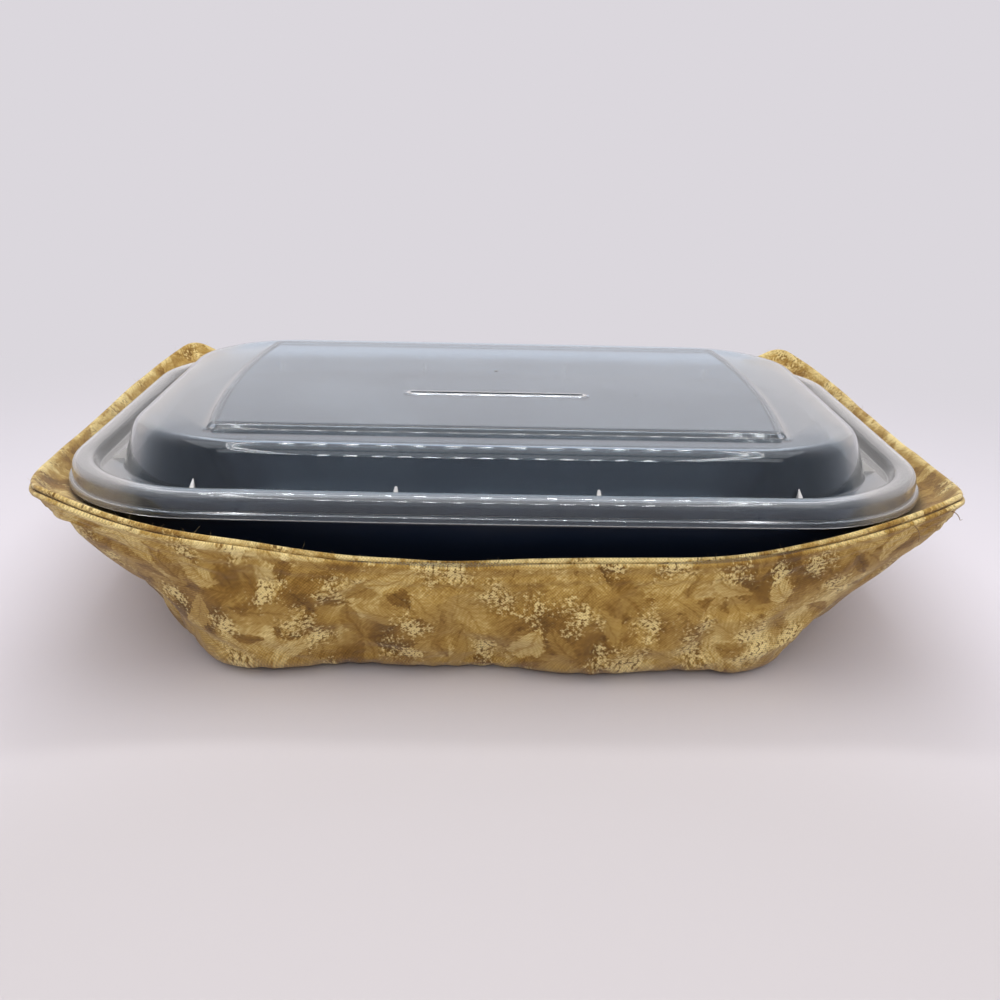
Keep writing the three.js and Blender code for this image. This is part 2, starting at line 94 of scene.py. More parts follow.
class ContainerSizes(bpy.types.PropertyGroup):
    """Sizes of the moulded tray and lid"""

    lid_length: length("Lid length", "Length of the lid over its flange", (lid_high.x - lid_low.x) / MM)
    lid_width: length("Lid width", "Width of the lid over its flange", (lid_high.y - lid_low.y) / MM)
    corner_radius: length("Corner radius", "Radius of the lid's corners in plan", 37)
    corner_tightening: factor("Corner tightening", "Corner radius lost for each unit of inset", 0.48)
    side_bow: length("Side bow", "How far each long side swells in its middle", 1.8)
    clearance: length("Clearance", "Gap between the tray, the lid and the cozy", 0.3)
    tray_wall: length("Tray wall", "Thickness of the tray's wall", 0.9)
    tray_base: length("Tray base height", "Underside of the tray above the floor", 5.7)
    tray_height: length("Tray height", "Height of the tray", 45.2)
    tray_rim_width: length("Tray rim width", "Width of the tray's flat rim", 2.3)
    tray_rim_skirt: length("Tray rim skirt", "How far the tray's rim turns down", 3.6)
    tray_neck_depth: length("Tray neck depth", "Rim top down to where the sloping wall starts", 7.3)
    tray_neck_draft: length("Tray neck draft", "Lean of the tray's neck", 0.9)
    tray_base_inset: length("Tray base inset", "Lid edge in to the edge of the tray's base", 27)
    tray_base_round: length("Tray base round", "Rounding between the tray's wall and base", 12)
    tray_foot_width: length("Tray foot width", "Width of the foot that runs round the base", 15)
    tray_foot_height: length("Tray foot height", "Rise of the base inside its foot", 1.2)
    lid_wall: length("Lid wall", "Thickness of the lid's wall", 0.8)
    lid_rim_height: length("Lid rim height", "Height of the lid's skirt and rim", 6.4)
    lid_rim_width: length("Lid rim width", "Width of the lid's rounded rim", 4.2)
    lid_rim_round: length("Lid rim round", "Rounding along the lid's rim", 2)
    flange_height: length("Flange height", "Height of the flange at the skirt's foot", 2)
    flange_step: length("Flange step", "How far the flange stands out", 0.9)
    channel_depth: length("Channel depth", "Rim top down to the channel's floor", 4.1)
    channel_width: length("Channel width", "Width of the channel's floor", 6)
    channel_draft: length("Channel draft", "Lean of the channel's outer wall", 1)
    channel_round: length("Channel round", "Rounding of the channel's corners", 1)
    dome_rise: length("Dome rise", "Height of the dome above the rim", 8.1)
    dome_lean: length("Dome lean", "Inward lean of the dome's wall", 3.5)
    dome_shoulder: length("Dome shoulder", "Rounding of the dome's shoulder", 8)
    panel_rise: length("Panel rise", "Height of the raised panel", 1.5)
    panel_end_inset: length("Panel end inset", "Lid end in to the panel", 37.8)
    panel_side_inset: length("Panel side inset", "Lid side in to the panel", 27.5)
    panel_draft: length("Panel draft", "Lean of the panel's edges", 0.6)
    panel_bow: length("Panel bow", "How far each end of the panel swells in its middle", 3.6)
    slot_length: length("Slot length", "Length of the steam slot", 49)
    slot_width: length("Slot width", "Width of the steam slot", 1.4)
    slot_forward: length("Slot forward", "Steam slot in front of the lid's middle", 16)
    slot_lip_width: length("Slot lip width", "Width of the lip round the steam slot", 1.2)
    slot_lip_rise: length("Slot lip rise", "Height of the lip round the steam slot", 0.18)
    gusset_thickness: length("Gusset thickness", "Thickness of a gusset in the channel", 0.9)
    gusset_run: length("Gusset run", "How far a gusset reaches into the channel", 3.4)
    gusset_rise: length("Gusset rise", "How high a gusset climbs the dome", 3.2)
    side_gusset_pitch: length("Side gusset pitch", "Spacing of the gussets along a long side", 50)
    end_gusset_pitch: length("End gusset pitch", "Spacing of the gussets along an end", 76)
    lug_offset: length("Lug offset", "Lid's middle along to each snap lug on a long side", 62.5)
    lug_length: length("Lug length", "Length of a snap lug", 17)
    lug_rise: length("Lug rise", "How far a snap lug stands out of the skirt", 0.45)


class CozySizes(bpy.types.PropertyGroup):
    """Sizes of the sewn cozy"""

    wall: length("Wall", "Thickness of the padded wall", 5.4)
    seam: length("Seam", "Thickness of the pressed rim seam", 2.7)
    seam_outset: length("Seam outset", "Lining's face out to the pressed rim seam", 2.1)
    seam_allowance: length("Seam allowance", "Width of the pressed band below the rim", 5)
    roll_rise: length("Roll rise", "How far each fabric rolls up over the rim", 0.35)
    fan_inset: length("Fan inset", "Lid edge in to the centres that the corners fan out from", 58)
    side_flat: length("Side flat", "Tray's base edge out to the end of the flat base, long sides", 13)
    side_fold: length("Side fold", "Tray's base edge out to the fold of the base, long sides", 16)
    end_flat: length("End flat", "Tray's base edge out to the end of the flat base, ends", 4.3)
    end_fold: length("End fold", "Tray's base edge out to the fold of the base, ends", 5)
    corner_flat: length("Corner flat", "Tray's base edge out to the end of the flat base, corners", 2.3)
    corner_fold: length("Corner fold", "Tray's base edge out to the fold of the base, corners", 4)
    rim_side_inset: length("Rim side inset", "Lid edge in to the rim, middle of a long side", 5)
    rim_end_outset: length("Rim end outset", "Lid end out to the rim, middle of an end", 5.3)
    tip_inset: length("Tip inset", "Lid end in to a corner tip", 6.5)
    tip_outset: length("Tip outset", "Lid side out to a corner tip", 0.8)
    tip_round: length("Tip round", "Rounding of a corner tip in plan", 5)
    rim_side_height: length("Rim side height", "Rim above the floor, middle of a long side", 36.8)
    rim_end_height: length("Rim end height", "Rim above the floor, middle of an end", 48.5)
    tip_height: length("Tip height", "Corner tip above the floor", 56.5)
    side_run: length("Side run", "Run of the wall below the rim, long sides", 5)
    side_rise: length("Side rise", "Rise of the wall below the rim, long sides", 17)
    end_run: length("End run", "Run of the wall below the rim, ends", 14)
    end_rise: length("End rise", "Rise of the wall below the rim, ends", 16)
    tip_run: length("Tip run", "Run of the wall below a corner tip", 32)
    tip_rise: length("Tip rise", "Rise of the wall below a corner tip", 35)
    side_sweep: factor("Side sweep", "Power with which a long side takes on the tip's lean", 3.6)
    end_sweep: factor("End sweep", "Power with which an end takes on the tip's lean", 2.4)
    base_sweep: factor("Base sweep", "Power with which the base's edge draws in towards a corner", 6.4)
    rim_turn: FloatProperty(
        name="Rim turn", description="How far the rim is turned on the base", default=0.02, subtype="ANGLE"
    )
    tuck: length("Tuck", "How far the left corners fold in below their tips", 3.2)
    notch: length("Notch", "How far the left corners fold in at the seam's end", 1.4)
    left_spread: length("Left spread", "How far the base's left corners are pulled out", 2.8)
    left_hollow: length("Left hollow", "How far the left corners' walls are hollowed", 3)
    right_fill: length("Right fill", "How far the right corners' walls are filled out", 5)
    right_draw: length("Right draw", "How far the base's right corners are drawn in", 6)
    left_end_draw: length("Left end draw", "How far the base's left end is drawn in", 3.6)
    ripple: length("Ripple", "How far the base's edge wanders in and out", 0.4)
    puff: length("Puff", "How far the wadding swells the outer face", 0.7)
    wrinkle: length("Wrinkle", "Depth of the creases that run along the rim", 0.5)
    slack: factor("Slack", "How much larger the outer cotton is cut than the wall that it covers", 0.028)
    slack_reach: length("Slack reach", "Furthest that the slack cotton moves as it settles", 1.3)
    seed: IntProperty(name="Seed", description="Sets where the creases fall", default=7, min=0)


class Finishes(bpy.types.PropertyGroup):
    """Colours of the cloth, the mouldings and the stage"""

    cream: colour("Cream", "Lightest tone of the cotton print", "#e4cf90")
    tan: colour("Tan", "Middle tone of the cotton print", "#ad8c48")
    brown: colour("Brown", "Darker tone of the cotton print", "#866226")
    umber: colour("Umber", "Darkest tone of the cotton print", "#5f4216")
    black: colour("Black", "Tray's black", "#111b2b")
    clear: colour("Clear", "Tint of the lid where it is clear", "#cad9e4")
    # The milky tint also colours the painted white highlight lines and the painted light at the lid's ends
    milky_and_highlight: colour("Milky", "Tint of the lid where it is milky", "#e0dedb")
    lint: colour("Lint", "Loose cotton fibres", "#c9ae78")
    thread: colour("Thread", "Sewing thread", "#8a6431")
    # The paper's tone is painted shade: the floor's front is painted darker than the backdrop
    paper_painted_shade: colour("Paper", "Floor in front", "#c5c0c1")
    backdrop: colour("Backdrop", "Far floor and background", "#dbd7dd")


def smooth(low, high, value):
    """0 below low, 1 above high, and an even curve between."""
    share = np.clip((value - low) / (high - low), 0, 1)
    return share * share * (3 - 2 * share)


def hump(middle, width, value):
    """1 at the middle, fading to 0 a width away on each side."""
    return np.exp(-(((value - middle) / width) ** 2))


def cloth_noise(along, across, cells, seed):
    """Smooth values from -1 to 1. along wraps after a whole number of cells, and across is in cells."""
    rows = 64
    table = np.random.default_rng(seed).uniform(-1, 1, (cells, rows))
    along, across = np.broadcast_arrays(np.asarray(along, float), np.asarray(across, float))
    i, j = np.floor(along).astype(int), np.floor(across).astype(int)
    u, v = smooth(0, 1, along - i), smooth(0, 1, across - j)
    at = lambda di, dj: table[(i + di) % cells, (j + dj) % rows]
    return (at(0, 0) * (1 - u) + at(1, 0) * u) * (1 - v) + (at(0, 1) * (1 - u) + at(1, 1) * u) * v


def lofted_mesh(name, rings, closed=False, cut=None):
    """A mesh through rings of equal counts. An open run is capped at both ends, a closed one joins up."""
    rings = np.asarray(rings, float)
    levels, count = rings.shape[:2]
    index = np.arange(levels * count).reshape(levels, count)
    lower = index if closed else index[:-1]
    upper = np.roll(index, -1, axis=0) if closed else index[1:]
    quads = np.stack([lower, np.roll(lower, -1, 1), np.roll(upper, -1, 1), upper], -1)
    points = rings.reshape(-1, 3)
    faces = quads.reshape(-1, 4).tolist()
    flat = None if cut is None else np.asarray(cut, float).reshape(-1, 3)
    if not closed:
        under, over = len(points), len(points) + 1
        points = np.vstack([points, rings[0].mean(0), rings[-1].mean(0)])
        if flat is not None:
            flat = np.vstack([flat, cut[0].mean(0), cut[-1].mean(0)])
        ahead = np.roll(index, -1, 1)
        faces += [[under, int(b), int(a)] for a, b in zip(index[0], ahead[0])]
        faces += [[over, int(a), int(b)] for a, b in zip(index[-1], ahead[-1])]
    mesh = bpy.data.meshes.new(name)
    mesh.from_pydata(points.tolist(), [], faces)
    mesh.shade_smooth()
    if flat is not None:
        mesh.attributes.new("cut", "FLOAT_VECTOR", "POINT").data.foreach_set("vector", flat.ravel())
    return mesh


def add_piece(name, mesh, body, slot, material, *nodes):
    """An object that rides on a body, takes a finish and stands for CAD nodes. The slot is not used."""
    mesh.validate()
    mesh.materials.append(material)
    piece = bpy.data.objects.new(name, mesh)
    bpy.context.scene.collection.objects.link(piece)
    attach(piece, body)
    if nodes:
        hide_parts(*nodes)
    return piece


def new_material(name):
    """An empty node material, with its output node."""
    material = bpy.data.materials.new(name)
    material.use_nodes = True
    material.node_tree.nodes.clear()
    return material, material.node_tree, material.node_tree.nodes.new("ShaderNodeOutputMaterial")


def add_node(tree, kind, inputs=None, out=0, **settings):
    """Adds a shader node and gives one of its outputs.

    Inputs are values, or outputs to link, by name or number.
    """
    node = tree.nodes.new("ShaderNode" + kind)
    for key, value in settings.items():
        setattr(node, key, value)
    for key, value in (inputs or {}).items():
        if isinstance(value, bpy.types.NodeSocket):
            tree.links.new(value, node.inputs[key])
        else:
            node.inputs[key].default_value = value
    return node.outputs[out]


def set_tones(ramp, *stops):
    """Sets a colour ramp's stops, each a place and a colour."""
    while len(ramp.elements) < len(stops):
        ramp.elements.new(0.5)
    for element, (place, tone) in zip(ramp.elements, stops):
        element.position, element.color = place, opaque(tone)


def per(millimetres):
    """Texture scale, in cells to the metre, for a feature of that size."""
    return 1 / (millimetres * MM)


def opaque(values):
    """A colour with full alpha."""
    return (*values, 1)


# How far a leaf bends aside for each square of the way along it, in millimetres
LEAF_BEND = -0.03
LEAF_TEAR = 2.6 * MM
LEAF_COVER = 0.72
VEIN_PITCH = 1.5
# Pitch, half length and half breadth in millimetres, and tones: small dark leaves lie under large pale ones
LEAF_LAYERS = ((11, 5.2, 2.1, (0.12, 0.55)), (13, 6.5, 2.6, (0.35, 0.8)), (17, 8.0, 3.2, (0.56, 0.88)))
# Threads lie 0.46 mm apart, and are drawn coarser so that they show
THREAD_PITCH = 0.8
WEAVE_SKEW = math.radians(6)


def strewn_leaves(tree, place, ragged, pitch, reach, breadth, tones):
    """Leaves strewn over the cloth: how far they cover each point, and their tone there.

    The pitch, half length and half breadth are in millimetres, and the tones run from darkest to palest.
    """
    cells = {"Vector": place, "Scale": per(pitch), "Randomness": 0.8}
    centre = add_node(tree, "TexVoronoi", cells, "Position", voronoi_dimensions="2D")
    chance = add_node(tree, "TexVoronoi", cells, "Color", voronoi_dimensions="2D")
    own = add_node(tree, "VectorMath", {0: place, 1: centre}, operation="SUBTRACT")
    turn = add_node(tree, "SeparateXYZ", {0: chance}, "X")
    turn = add_node(tree, "Math", {0: turn, 1: 2 * math.pi}, operation="MULTIPLY")
    own = add_node(tree, "VectorRotate", {"Vector": own, "Angle": turn}, rotation_type="Z_AXIS")
    along = add_node(tree, "SeparateXYZ", {0: own}, "X")
    square = add_node(tree, "Math", {0: along, 1: 2.0}, operation="POWER")
    bend = add_node(tree, "Math", {0: square, 1: LEAF_BEND / MM}, operation="MULTIPLY")
    aside = add_node(tree, "SeparateXYZ", {0: own}, "Y")
    aside = add_node(tree, "Math", {0: aside, 1: bend}, operation="ADD")
    aside = add_node(tree, "Math", {0: aside}, operation="ABSOLUTE")
    taper = {0: square, 1: -breadth / (reach * reach) / MM, 2: breadth * MM}
    half = add_node(tree, "Math", taper, operation="MULTIPLY_ADD")
    inside = add_node(tree, "Math", {0: half, 1: aside}, operation="SUBTRACT")
    inside = add_node(tree, "Math", {0: ragged, 1: LEAF_TEAR, 2: inside}, operation="MULTIPLY_ADD")
    cover = add_node(tree, "MapRange", {"Value": inside, 1: -0.1 * MM, 2: 0.45 * MM, 3: 0.0, 4: LEAF_COVER})
    # A midrib, and veins that slant away from it
    slant = add_node(tree, "Math", {0: along, 1: aside}, operation="SUBTRACT")
    slant = add_node(tree, "Math", {0: slant, 1: 2 * math.pi * per(VEIN_PITCH)}, operation="MULTIPLY")
    veins = add_node(tree, "Math", {0: slant}, operation="SINE")
    rib = add_node(tree, "MapRange", {"Value": aside, 1: 0.1 * MM, 2: 0.45 * MM, 3: -0.16, 4: 0.0})
    own_tone = add_node(tree, "SeparateXYZ", {0: chance}, "Y")
    own_tone = add_node(tree, "MapRange", {"Value": own_tone, 3: tones[0], 4: tones[1]})
    tone = add_node(tree, "Math", {0: veins, 1: 0.05, 2: own_tone}, operation="MULTIPLY_ADD")
    return cover, add_node(tree, "Math", {0: tone, 1: rib}, operation="ADD")


def printed_cotton(finishes):
    """Plain-weave quilting cotton with a tonal print.

    Pigment printing gives soft-edged leaves and speckled pale blots in tans on one ground.
    The weave runs askew to the cut and breaks up the light, so there is no gloss, only a faint sheen.
    The rim's fold is rubbed paler by wear, and is also painted lighter as a painted highlight where it
    catches the light from above.
    """
    material, tree, output = new_material("cotton_plain_weave_printed")
    cut = add_node(tree, "Attribute", out="Vector", attribute_name="cut")
    flat = {"noise_dimensions": "2D"}
    wander = add_node(tree, "TexNoise", {"Vector": cut, "Scale": per(9), "Detail": 2.0}, "Color", **flat)
    wander = add_node(tree, "VectorMath", {0: wander, 1: (0.5, 0.5, 0.5)}, operation="SUBTRACT")
    wander = add_node(tree, "VectorMath", {0: wander, "Scale": 4 * MM}, operation="SCALE")
    place = add_node(tree, "VectorMath", {0: cut, 1: wander}, operation="ADD")
    specks = {"Vector": cut, "Scale": per(0.9), "Detail": 2.0, "Roughness": 0.6}
    grain = add_node(tree, "TexNoise", specks, **flat)
    ragged = add_node(tree, "Math", {0: grain, 1: 0.5}, operation="SUBTRACT")
    # A ground of soft clouds, with pen strokes about 0.55 mm wide that slant across it
    clouds = {"Vector": cut, "Scale": per(21), "Detail": 5.0, "Roughness": 0.6}
    clouds = add_node(tree, "TexNoise", clouds, **flat)
    tone = add_node(tree, "MapRange", {"Value": clouds, 1: 0.3, 2: 0.7, 3: 0.16, 4: 0.86})
    slanted = {"Vector": cut, "Rotation": (0, 0, 0.8), "Scale": (1, 3, 1)}
    combed = add_node(tree, "Mapping", slanted, vector_type="TEXTURE")
    combed = {"Vector": combed, "Scale": per(0.55), "Detail": 2.0, "Roughness": 0.6}
    combed = add_node(tree, "TexNoise", combed, **flat)
    combed = add_node(tree, "MapRange", {"Value": combed, 1: 0.3, 2: 0.7, 3: -0.05, 4: 0.05})
    tone = add_node(tree, "Math", {0: tone, 1: combed}, operation="ADD")
    for layer in LEAF_LAYERS:
        cover, leaf = strewn_leaves(tree, place, ragged, *layer)
        tone = add_node(tree, "Mix", {"Factor": cover, 2: tone, 3: leaf}, data_type="FLOAT")
        tone = add_node(tree, "Math", {0: combed, 1: 0.35, 2: tone}, operation="MULTIPLY_ADD")
    # The rim's fold is paler: wear, and a painted highlight where it catches the light from above
    wear_and_highlight = add_node(tree, "SeparateXYZ", {0: cut}, "Z")
    tone = add_node(tree, "Math", {0: wear_and_highlight, 1: 0.24, 2: tone}, operation="MULTIPLY_ADD")
    ground = add_node(tree, "ValToRGB", {"Fac": tone})
    set_tones(
        ground.node.color_ramp,
        (0.06, finishes.umber), (0.36, finishes.brown), (0.64, finishes.tan), (0.96, finishes.cream),
    )
    # Pale blots about 7 mm across, broken into specks at their edges, with dark specks round them
    blots = {"Vector": place, "Scale": per(15), "Randomness": 1.0}
    spot = add_node(tree, "TexVoronoi", blots, "Distance", voronoi_dimensions="2D")
    torn = {"Vector": cut, "Scale": per(5), "Detail": 4.0, "Roughness": 0.65}
    torn = add_node(tree, "TexNoise", torn, **flat)
    spot = add_node(tree, "Math", {0: torn, 1: 1.1, 2: spot}, operation="MULTIPLY_ADD")
    speck = add_node(tree, "Math", {0: grain, 1: -1.2, 2: spot}, operation="MULTIPLY_ADD")
    pale = add_node(tree, "MapRange", {"Value": speck, 1: -0.08, 2: 0.18, 3: 0.78, 4: 0.0})
    eased = {"interpolation_type": "SMOOTHSTEP"}
    halo = add_node(tree, "MapRange", {"Value": spot, 1: 0.55, 2: 1.05, 3: 1.0, 4: 0.0}, **eased)
    dark = add_node(tree, "MapRange", {"Value": grain, 1: 0.38, 2: 0.44, 3: 0.8, 4: 0.0})
    dark = add_node(tree, "Math", {0: dark, 1: halo}, operation="MULTIPLY")
    cream, umber = opaque(finishes.cream), opaque(finishes.umber)
    printed = add_node(tree, "Mix", {"Factor": pale, 6: ground, 7: cream}, 2, data_type="RGBA")
    printed = add_node(tree, "Mix", {"Factor": dark, 6: printed, 7: umber}, 2, data_type="RGBA")
    turned = add_node(tree, "Mapping", {"Vector": cut, "Rotation": (0, 0, WEAVE_SKEW)})
    waves = []
    for axis in ("X", "Y"):
        thread = add_node(tree, "SeparateXYZ", {0: turned}, axis)
        phase = {0: thread, 1: 2 * math.pi * per(THREAD_PITCH)}
        thread = add_node(tree, "Math", phase, operation="MULTIPLY")
        waves.append(add_node(tree, "Math", {0: thread}, operation="SINE"))
    weave = add_node(tree, "Math", {0: waves[0], 1: waves[1]}, operation="MULTIPLY")
    # Painted shade in the weave's gaps and painted light on the threads' crowns
    weave_light_and_shade = add_node(tree, "MapRange", {"Value": weave, 1: -1.0, 2: 1.0, 3: 0.76, 4: 1.2})
    tint = {"data_type": "RGBA", "blend_type": "MULTIPLY"}
    woven = add_node(tree, "Mix", {"Factor": 1.0, 6: printed, 7: weave_light_and_shade}, 2, **tint)
    crumple = add_node(tree, "TexNoise", {"Vector": cut, "Scale": per(3.5), "Detail": 3.0}, **flat)
    height = add_node(tree, "Math", {0: crumple, 1: 3.0, 2: weave}, operation="MULTIPLY_ADD")
    bump = add_node(tree, "Bump", {"Height": height, "Strength": 0.6, "Distance": 0.06 * MM})
    cloth = {"Base Color": woven, "Normal": bump, "Roughness": 0.92, "IOR": 1.5, "Specular IOR Level": 0.25}
    shader = add_node(tree, "BsdfPrincipled", {**cloth, "Sheen Weight": 0.18, "Sheen Roughness": 0.5})
    tree.links.new(shader, output.inputs[0])
    return material


def black_polypropylene(finishes):
    """Polypropylene with black pigment, injection moulded.

    The mould's fine spark finish leaves a satin, slightly blue black that mirrors light only softly.
    """
    material, tree, output = new_material("polypropylene_black_moulded")
    place = add_node(tree, "TexCoord", out="Object")
    # Mould grain of about 0.15 mm, drawn 0.5 mm so that it shows
    grain = add_node(tree, "TexNoise", {"Vector": place, "Scale": per(0.5), "Detail": 2.0})
    cloud = add_node(tree, "TexNoise", {"Vector": place, "Scale": per(18), "Detail": 3.0})
    rough = add_node(tree, "MapRange", {"Value": cloud, 1: 0.3, 2: 0.7, 3: 0.34, 4: 0.46})
    bump = add_node(tree, "Bump", {"Height": grain, "Strength": 0.08, "Distance": 0.02 * MM})
    plastic = {"Base Color": opaque(finishes.black), "Roughness": rough, "IOR": 1.49, "Normal": bump}
    tree.links.new(add_node(tree, "BsdfPrincipled", plastic), output.inputs[0])
    return material


# How milky the lid is where its tint has turned wholly milky
FULL_TINT_MILK = 0.16


def hazy_polypropylene(finishes):
    """Natural polypropylene, injection moulded thin.

    Its crystals scatter a little of the light, so it is clear straight through and milky at a glance.
    Tight edges gather the light that runs inside the wall, and show as white lines: these are painted white
    highlights, drawn milky, as are the lines along the slot's lip, the dome's shoulder and the panel's
    ends.
    The rim is milkier, and the two ends are painted milkier as painted light from the sides.
    The polished mould leaves it glossy, with soft clouds where the melt flowed.
    """
    material, tree, output = new_material("polypropylene_clear_moulded")
    place = add_node(tree, "TexCoord", out="Object")
    flow = {"Vector": place, "Scale": per(24), "Detail": 3.0, "Roughness": 0.55}
    cloud = add_node(tree, "TexNoise", flow)
    facing = add_node(tree, "LayerWeight", {"Blend": 0.5}, "Facing")
    haze = add_node(tree, "MapRange", {"Value": facing, 1: 0.3, 2: 0.85, 3: 0.02, 4: 0.2})
    milk_and_highlight = add_node(tree, "Attribute", out="Fac", attribute_name="milk_and_highlight")
    # Real milkiness and painted white highlights, with painted light at the lid's ends, add to the haze
    haze = add_node(tree, "Math", {0: haze, 1: cloud, 2: milk_and_highlight}, operation="MULTIPLY_ADD")
    clear = add_node(tree, "Math", {0: 1.0, 1: haze}, operation="SUBTRACT")
    tint_share = add_node(tree, "MapRange", {"Value": milk_and_highlight, 2: FULL_TINT_MILK})
    tints = {"Factor": tint_share, 6: opaque(finishes.clear), 7: opaque(finishes.milky_and_highlight)}
    tint = add_node(tree, "Mix", tints, 2, data_type="RGBA")
    plastic = {"Base Color": tint, "Roughness": 0.05, "IOR": 1.49, "Transmission Weight": clear}
    tree.links.new(add_node(tree, "BsdfPrincipled", plastic), output.inputs[0])
    return material


def matt_fibre(name, tone):
    """Loose cotton or thread: matt, soft-edged and slightly uneven in tone."""
    material, tree, output = new_material(name)
    place = add_node(tree, "TexCoord", out="Object")
    patch = add_node(tree, "TexNoise", {"Vector": place, "Scale": per(2), "Detail": 2.0})
    tones = add_node(tree, "ValToRGB", {"Fac": patch})
    set_tones(tones.node.color_ramp, (0.0, [0.7 * v for v in tone]), (1.0, tone))
    fibre = {"Base Color": tones, "Roughness": 0.9, "Sheen Weight": 0.2}
    tree.links.new(add_node(tree, "BsdfPrincipled", fibre), output.inputs[0])
    return material


# The moulded tray and lid

CORNER_STEPS = 16
LONG_STEPS = 72
SHORT_STEPS = 36
LIP_STEPS = 7
SMALL_ROUND_STEPS = 7
LARGE_ROUND_STEPS = 13
LARGE_ROUND = 4 * MM
# Share of a straight run that one rounding may take
ROUND_SHARE = 0.48
TRAY_RIM_ROUND = 1.1 * MM
PANEL_EDGE_ROUND = 0.45 * MM
PANEL_CORNER = 1.6 * MM
LUG_LIFT = 0.25 * MM
LUG_BAND = 0.7 * MM
# Shares of the lid's half width between which a long side begins
LONG_SIDE = (0.93, 0.97)
# The slot's lip from its foot to its mouth, in shares of its width and rise
LIP_PROFILE = ((2, 0), (1, 0), (0.8, 0.7), (0.5, 1), (0.2, 1), (0, 0.6))


def rounded_rectangle(reach_x, reach_y, radius):
    """Points anticlockwise from the front side's right-hand end, as many for every size."""
    corners = []
    for i, (x, y) in enumerate(((1, -1), (1, 1), (-1, 1), (-1, -1))):
        turn = (i - 1 + np.linspace(0, 1, CORNER_STEPS + 1)) * math.pi / 2
        centre = np.array([x * (reach_x - radius), y * (reach_y - radius)])
        corners.append(centre + radius * np.stack([np.cos(turn), np.sin(turn)], 1))
    points = []
    for i, arc in enumerate(corners):
        steps = SHORT_STEPS if i % 2 == 0 else LONG_STEPS
        shares = np.linspace(0, 1, steps, endpoint=False)[:, None]
        points += [arc[:-1], arc[-1] * (1 - shares) + corners[(i + 1) % 4][0] * shares]
    return np.vstack(points)


def outline_ring(sizes, inset, height):
    """The plan of the tray and lid, drawn in by an inset, at a height."""
    half_length, half_width = sizes.lid_length / 2, sizes.lid_width / 2
    radius = sizes.corner_radius - sizes.corner_tightening * inset
    ring = rounded_rectangle(half_length - inset, half_width - inset, radius)
    bow = 1 - sizes.side_bow / half_width * (ring[:, 0] / half_length) ** 2
    return np.column_stack([ring[:, 0], ring[:, 1] * bow, np.full(len(ring), height)])


def filleted_path(corners):
    """Points along straight runs with rounded corners. A corner is (inset, height, radius)."""
    at = [np.array(c[:2]) for c in corners]
    path = []
    for i, corner in enumerate(corners):
        if len(corner) < 3:
            path.append(at[i])
            continue
        back, ahead = at[i - 1] - at[i], at[i + 1] - at[i]
        back_run, ahead_run = np.linalg.norm(back), np.linalg.norm(ahead)
        opening = math.acos(np.dot(back, ahead) / (back_run * ahead_run))
        setback = min(corner[2] / math.tan(opening / 2), ROUND_SHARE * min(back_run, ahead_run))
        start, end = at[i] + back / back_run * setback, at[i] + ahead / ahead_run * setback
        steps = LARGE_ROUND_STEPS if corner[2] > LARGE_ROUND else SMALL_ROUND_STEPS
        for share in np.linspace(0, 1, steps):
            path.append((1 - share) ** 2 * start + 2 * share * (1 - share) * at[i] + share**2 * end)
    return np.array(path)


def wall_rings(sizes, path, wall):
    """Rings of a thin wall's two sides along a path, with a rounded lip: under side, then upper side."""
    run = np.gradient(path, axis=0)
    run /= np.linalg.norm(run, axis=1)[:, None]
    side = np.column_stack([-run[:, 1], run[:, 0]]) * wall / 2
    lip = [
        path[0] - run[0] * wall / 2 * math.cos(turn) + side[0] * math.sin(turn)
        for turn in np.linspace(-math.pi / 2, math.pi / 2, LIP_STEPS)[1:-1]
    ]
    under = [outline_ring(sizes, *point) for point in (path - side)[::-1]]
    upper = [outline_ring(sizes, *point) for point in [*lip, *(path + side)]]
    return under, upper


def tray_top(sizes):
    """Top of the tray's rim above the floor."""
    return sizes.tray_base + sizes.tray_height


def lid_rim_top(sizes):
    """Top of the lid's rim above the floor."""
    return tray_top(sizes) + sizes.clearance + sizes.lid_wall


def tray_rings(sizes):
    """Rings of the tray's outside, from its base to its rim, and of its inside."""
    half = sizes.tray_wall / 2
    top = tray_top(sizes)
    lip = sizes.flange_step + sizes.lid_wall + sizes.clearance + half
    neck = lip + sizes.tray_rim_width
    foot = sizes.tray_base_inset + sizes.tray_foot_width
    rise = sizes.tray_foot_height
    low = sizes.tray_base + half
    path = filleted_path([
        (lip, top - sizes.tray_rim_skirt),
        (lip, top - half, TRAY_RIM_ROUND),
        (neck, top - half, TRAY_RIM_ROUND),
        (neck + sizes.tray_neck_draft, top - sizes.tray_neck_depth, TRAY_RIM_ROUND),
        (sizes.tray_base_inset, low, sizes.tray_base_round),
        (foot, low, rise),
        (foot + rise, low + rise, rise),
        (foot + sizes.tray_foot_width, low + rise),
    ])
    return wall_rings(sizes, path, sizes.tray_wall)


def tray_mesh(sizes):
    """Rolled rim, sloping wall and a foot that runs round a raised base."""
    under, upper = tray_rings(sizes)
    return lofted_mesh("tray_moulding", under + upper)


# How far the middle of a rounding stands off the lines that it joins, as a share of its radius
ARC_MIDDLE = 0.3
# How far the dome's top runs in past its shoulder, as a share of the shoulder's radius
SHOULDER_RUN = 0.8


